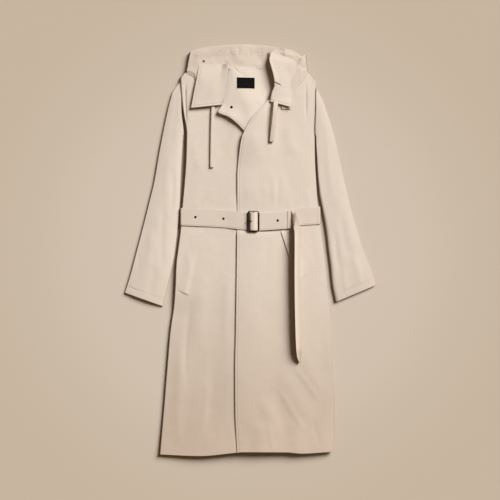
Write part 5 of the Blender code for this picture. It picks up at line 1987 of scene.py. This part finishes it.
@dataclass
class PocketWelt:
    """Slanted pocket welt lying on a front."""

    side: Side
    # corners: top inner, low inner, low outer, top outer
    corners: Rows
    # share of the thickness kept at the inner and the low edge
    kept: Span = (0.2, 1)
    # how far the inner edge stands off
    stands: float = 0.0
    # height of its lower face over the front's middle
    lift: float = 0.8

    def build(self) -> None:
        """Make and dress the welt: straight in plan, and thin at its outer and its top edge."""
        inner_top, inner_low, outer_low, outer_top = (np.array(c) for c in self.corners)
        down, across = eased(90, 0.4)[:, None, None], eased(26, 0.4)[None, :, None]
        inner = inner_top + (inner_low - inner_top) * down
        outer = outer_top + (outer_low - outer_top) * down
        plan = outer + (inner - outer) * across
        x, y = plan[..., 0], plan[..., 1]
        mid = FORM.left_mid if self.side is Side.LEFT else FORM.right_mid
        word = self.side.word
        down, across = down[..., 0], across[..., 0]
        thin = 0.05 + 0.95 * np.minimum(step(across / 0.7), step(down / 0.5))
        thin = thin * (1 - (1 - self.kept[0]) * between(across, 0.6, 1))
        thin = thin * (1 - (1 - self.kept[1]) * between(down, 0.6, 1))
        off = self.stands * between(across, 0.35, 1) * step(down / 0.06)
        z = mid(x, y) + self.lift + FORM.cloth / 2 * thin + off
        shell = Shell(f"pocket_welt_{word}_cloth", stacked(x, y, z), thin=thin)
        nodes = (f"pocket_welt_{word}",)
        lay(shell, COAT, nodes)
        sewn(f"welt_sewing_{word}", [shell.line(Edge.END, WELT_ROW)])


@dataclass
class Studio:
    """Pale floor, one soft key light from the upper right, a wide soft fill, and the camera."""

    floor_reach: float = 3000.0
    camera_height: float = 3.778
    lens: float = 85.0
    key_azimuth: float = 45.0
    key_height: float = 31.0
    key_strength: float = 5.2
    key_softness: float = 30.0
    fill_power: float = 1.2
    fill_size: float = 1.8
    fill_place: Place = (0, 0.1, 2.4)
    world_colour: Colour = (1, 0.62, 0.30)
    world_strength: float = 0.11

    def floor(self) -> Item:
        """Square board under the coat.

        Returns:
            The board.
        """
        edge = np.linspace(-self.floor_reach, self.floor_reach, 9)
        x, y = np.meshgrid(edge, edge)
        index = np.arange(x.size).reshape(x.shape)
        faces = quads(index[:-1], index[1:], False)
        item = solid("pale_floor", stacked(x, y, -0.05).reshape(-1, 3), faces)
        item.data.materials.append(FloorFinish().material())
        return item

    def light(self) -> None:
        """Key and fill lights and the dim surround."""
        key = bpy.data.lights.new("key", "SUN")
        key.energy = self.key_strength
        key.angle = math.radians(self.key_softness)
        item = bpy.data.objects.new("key", key)
        around, up = math.radians(self.key_azimuth), math.radians(self.key_height)
        item.rotation_euler = (math.pi / 2 - up, 0, around + math.pi / 2)
        bpy.context.scene.collection.objects.link(item)
        fill = bpy.data.lights.new("fill", "AREA")
        fill.shape = "DISK"
        fill.size = self.fill_size
        fill.energy = self.fill_power
        item = bpy.data.objects.new("fill", fill)
        item.location = self.fill_place
        bpy.context.scene.collection.objects.link(item)
        world = bpy.data.worlds.new("surround")
        world.use_nodes = True
        surround = world.node_tree.nodes["Background"]
        surround.inputs[0].default_value = (*self.world_colour, 1)
        surround.inputs[1].default_value = self.world_strength
        bpy.context.scene.world = world

    def view(self) -> None:
        """Camera straight above the coat, its top towards the hood."""
        data = bpy.data.cameras.new("above")
        data.lens = self.lens
        data.sensor_width = 36
        item = bpy.data.objects.new("above", data)
        item.location = (0, 0, self.camera_height)
        bpy.context.scene.collection.objects.link(item)
        bpy.context.scene.camera = item

    def build(self) -> None:
        """Make the floor, lights and camera, and show colours as they are."""
        self.view()
        self.floor()
        self.light()
        bpy.context.scene.view_settings.view_transform = "Standard"


# routes of the drawcords: x, y and extra height, downwards
LEFT_ROUTE: Rows = (
    (-117.6, 456, 0.8), (-119, 425, 0.9), (-119.9, 390, 0.8), (-120.7, 350, 0.7),
    (-121.3, 310, 0.5), (-121.8, 264, 0.2),
)
RIGHT_ROUTE: Rows = (
    (82, 474, 7), (80.6, 455, 8), (78.4, 430, 8.4), (75.8, 405, 7.4), (72, 375, 4.4),
    (68.8, 345.6, 1),
)
# sections of the sleeves: inner edge x and y, outer edge x and y, height of the crown
LEFT_SECTIONS: Rows = (
    (-211, 366, -223.8, 550, 9), (-214, 338, -240.5, 523, 9.6), (-217.6, 290, -255.2, 477, 10),
    (-220.6, 235, -271.6, 405, 10.2), (-222.6, 170, -290.4, 309, 10.2),
    (-227, 108, -305.6, 221, 10.2), (-233.2, 45, -323.2, 148, 10.2), (-240.4, -15, -342.8, 70, 10),
    (-254, -79, -361.8, -2, 10), (-267, -134, -382, -78, 9.8), (-278, -179.5, -400, -136, 9.2),
)
LEFT_CREASES: Folds = (
    Fold(-392, -112, -364, -130, 3, -0.5, 1), Fold(-276, 140, -280, -64, 9, -0.8, 4),
    Fold(-353, -12, -357, -60, 5, -0.6, 2), Fold(-258, 300, -268, 160, 10, 0.5, 4),
    Fold(-236, 440, -250, 330, 9, -0.4, 4), Fold(-314, 60, -334, -60, 14, 1, -6),
    Fold(-300, -60, -320, -150, 12, -0.9, 4), Fold(-232, 500, -240, 420, 6, -0.4, 2),
    Fold(-246, 250, -252, 120, 8, -0.8, -3), Fold(-364, -40, -386, -120, 8, 0.5, 3),
)
RIGHT_SECTIONS: Rows = (
    (209.2, 368, 214.5, 529, 9), (210.2, 338, 226, 500, 9.6), (212.5, 290, 245, 442, 10),
    (215.6, 235, 264, 384, 10.2), (220.8, 180, 286, 292, 10.2), (233, 115, 307, 198, 10.2),
    (242.5, 60, 328, 113, 10.2), (248.8, 5, 347, 51, 10), (256, -50, 366, -9, 10),
    (261.5, -107, 386, -60, 9.8), (273, -166, 401.5, -112, 9.2),
)
RIGHT_CREASES: Folds = (
    Fold(248, 330, 262, 180, 11, 0.5, 4), Fold(292, 120, 320, -30, 14, -1, 6),
    Fold(330, -20, 352, -110, 12, 0.9, -4), Fold(272, 60, 286, -70, 9, -0.9, 3),
    Fold(232, 400, 240, 300, 7, -0.3, 2), Fold(300, -60, 312, -140, 9, 0.7, 3),
)
# corners of the pocket welts: top inner, low inner, low outer, top outer
LEFT_WELT: Rows = ((-165, 1), (-194, -145), (-232, -128), (-203, 12))
RIGHT_WELT: Rows = ((97.4, 64), (150, -95), (188, -78), (135.5, 64))


def main() -> None:
    """Build the whole coat, camera and cords first."""
    logging.basicConfig(level=logging.INFO, format="%(name)s %(message)s")
    Studio().build()
    Drawcord(Side.LEFT, 12.5, math.radians(3), LEFT_ROUTE, 4).build()
    Drawcord(Side.RIGHT, 15, math.radians(6), RIGHT_ROUTE).build()
    Body().build()
    Sleeve(Side.LEFT, LEFT_SECTIONS, LEFT_CREASES, caps=(3.6, 1.2), lowered=(4.2, 3.2),
           parted=7).build()
    Sleeve(Side.RIGHT, RIGHT_SECTIONS, RIGHT_CREASES, caps=(13, 1.2), lowered=(0, 2.4),
           parted=0.2).build()
    Neck().build()
    Hood().build()
    Collar().build()
    Belt().build()
    Buckle().build()
    PocketWelt(Side.LEFT, LEFT_WELT).build()
    PocketWelt(Side.RIGHT, RIGHT_WELT, (1, 0.15), 1.8).build()


if __name__ == "__main__":
    main()
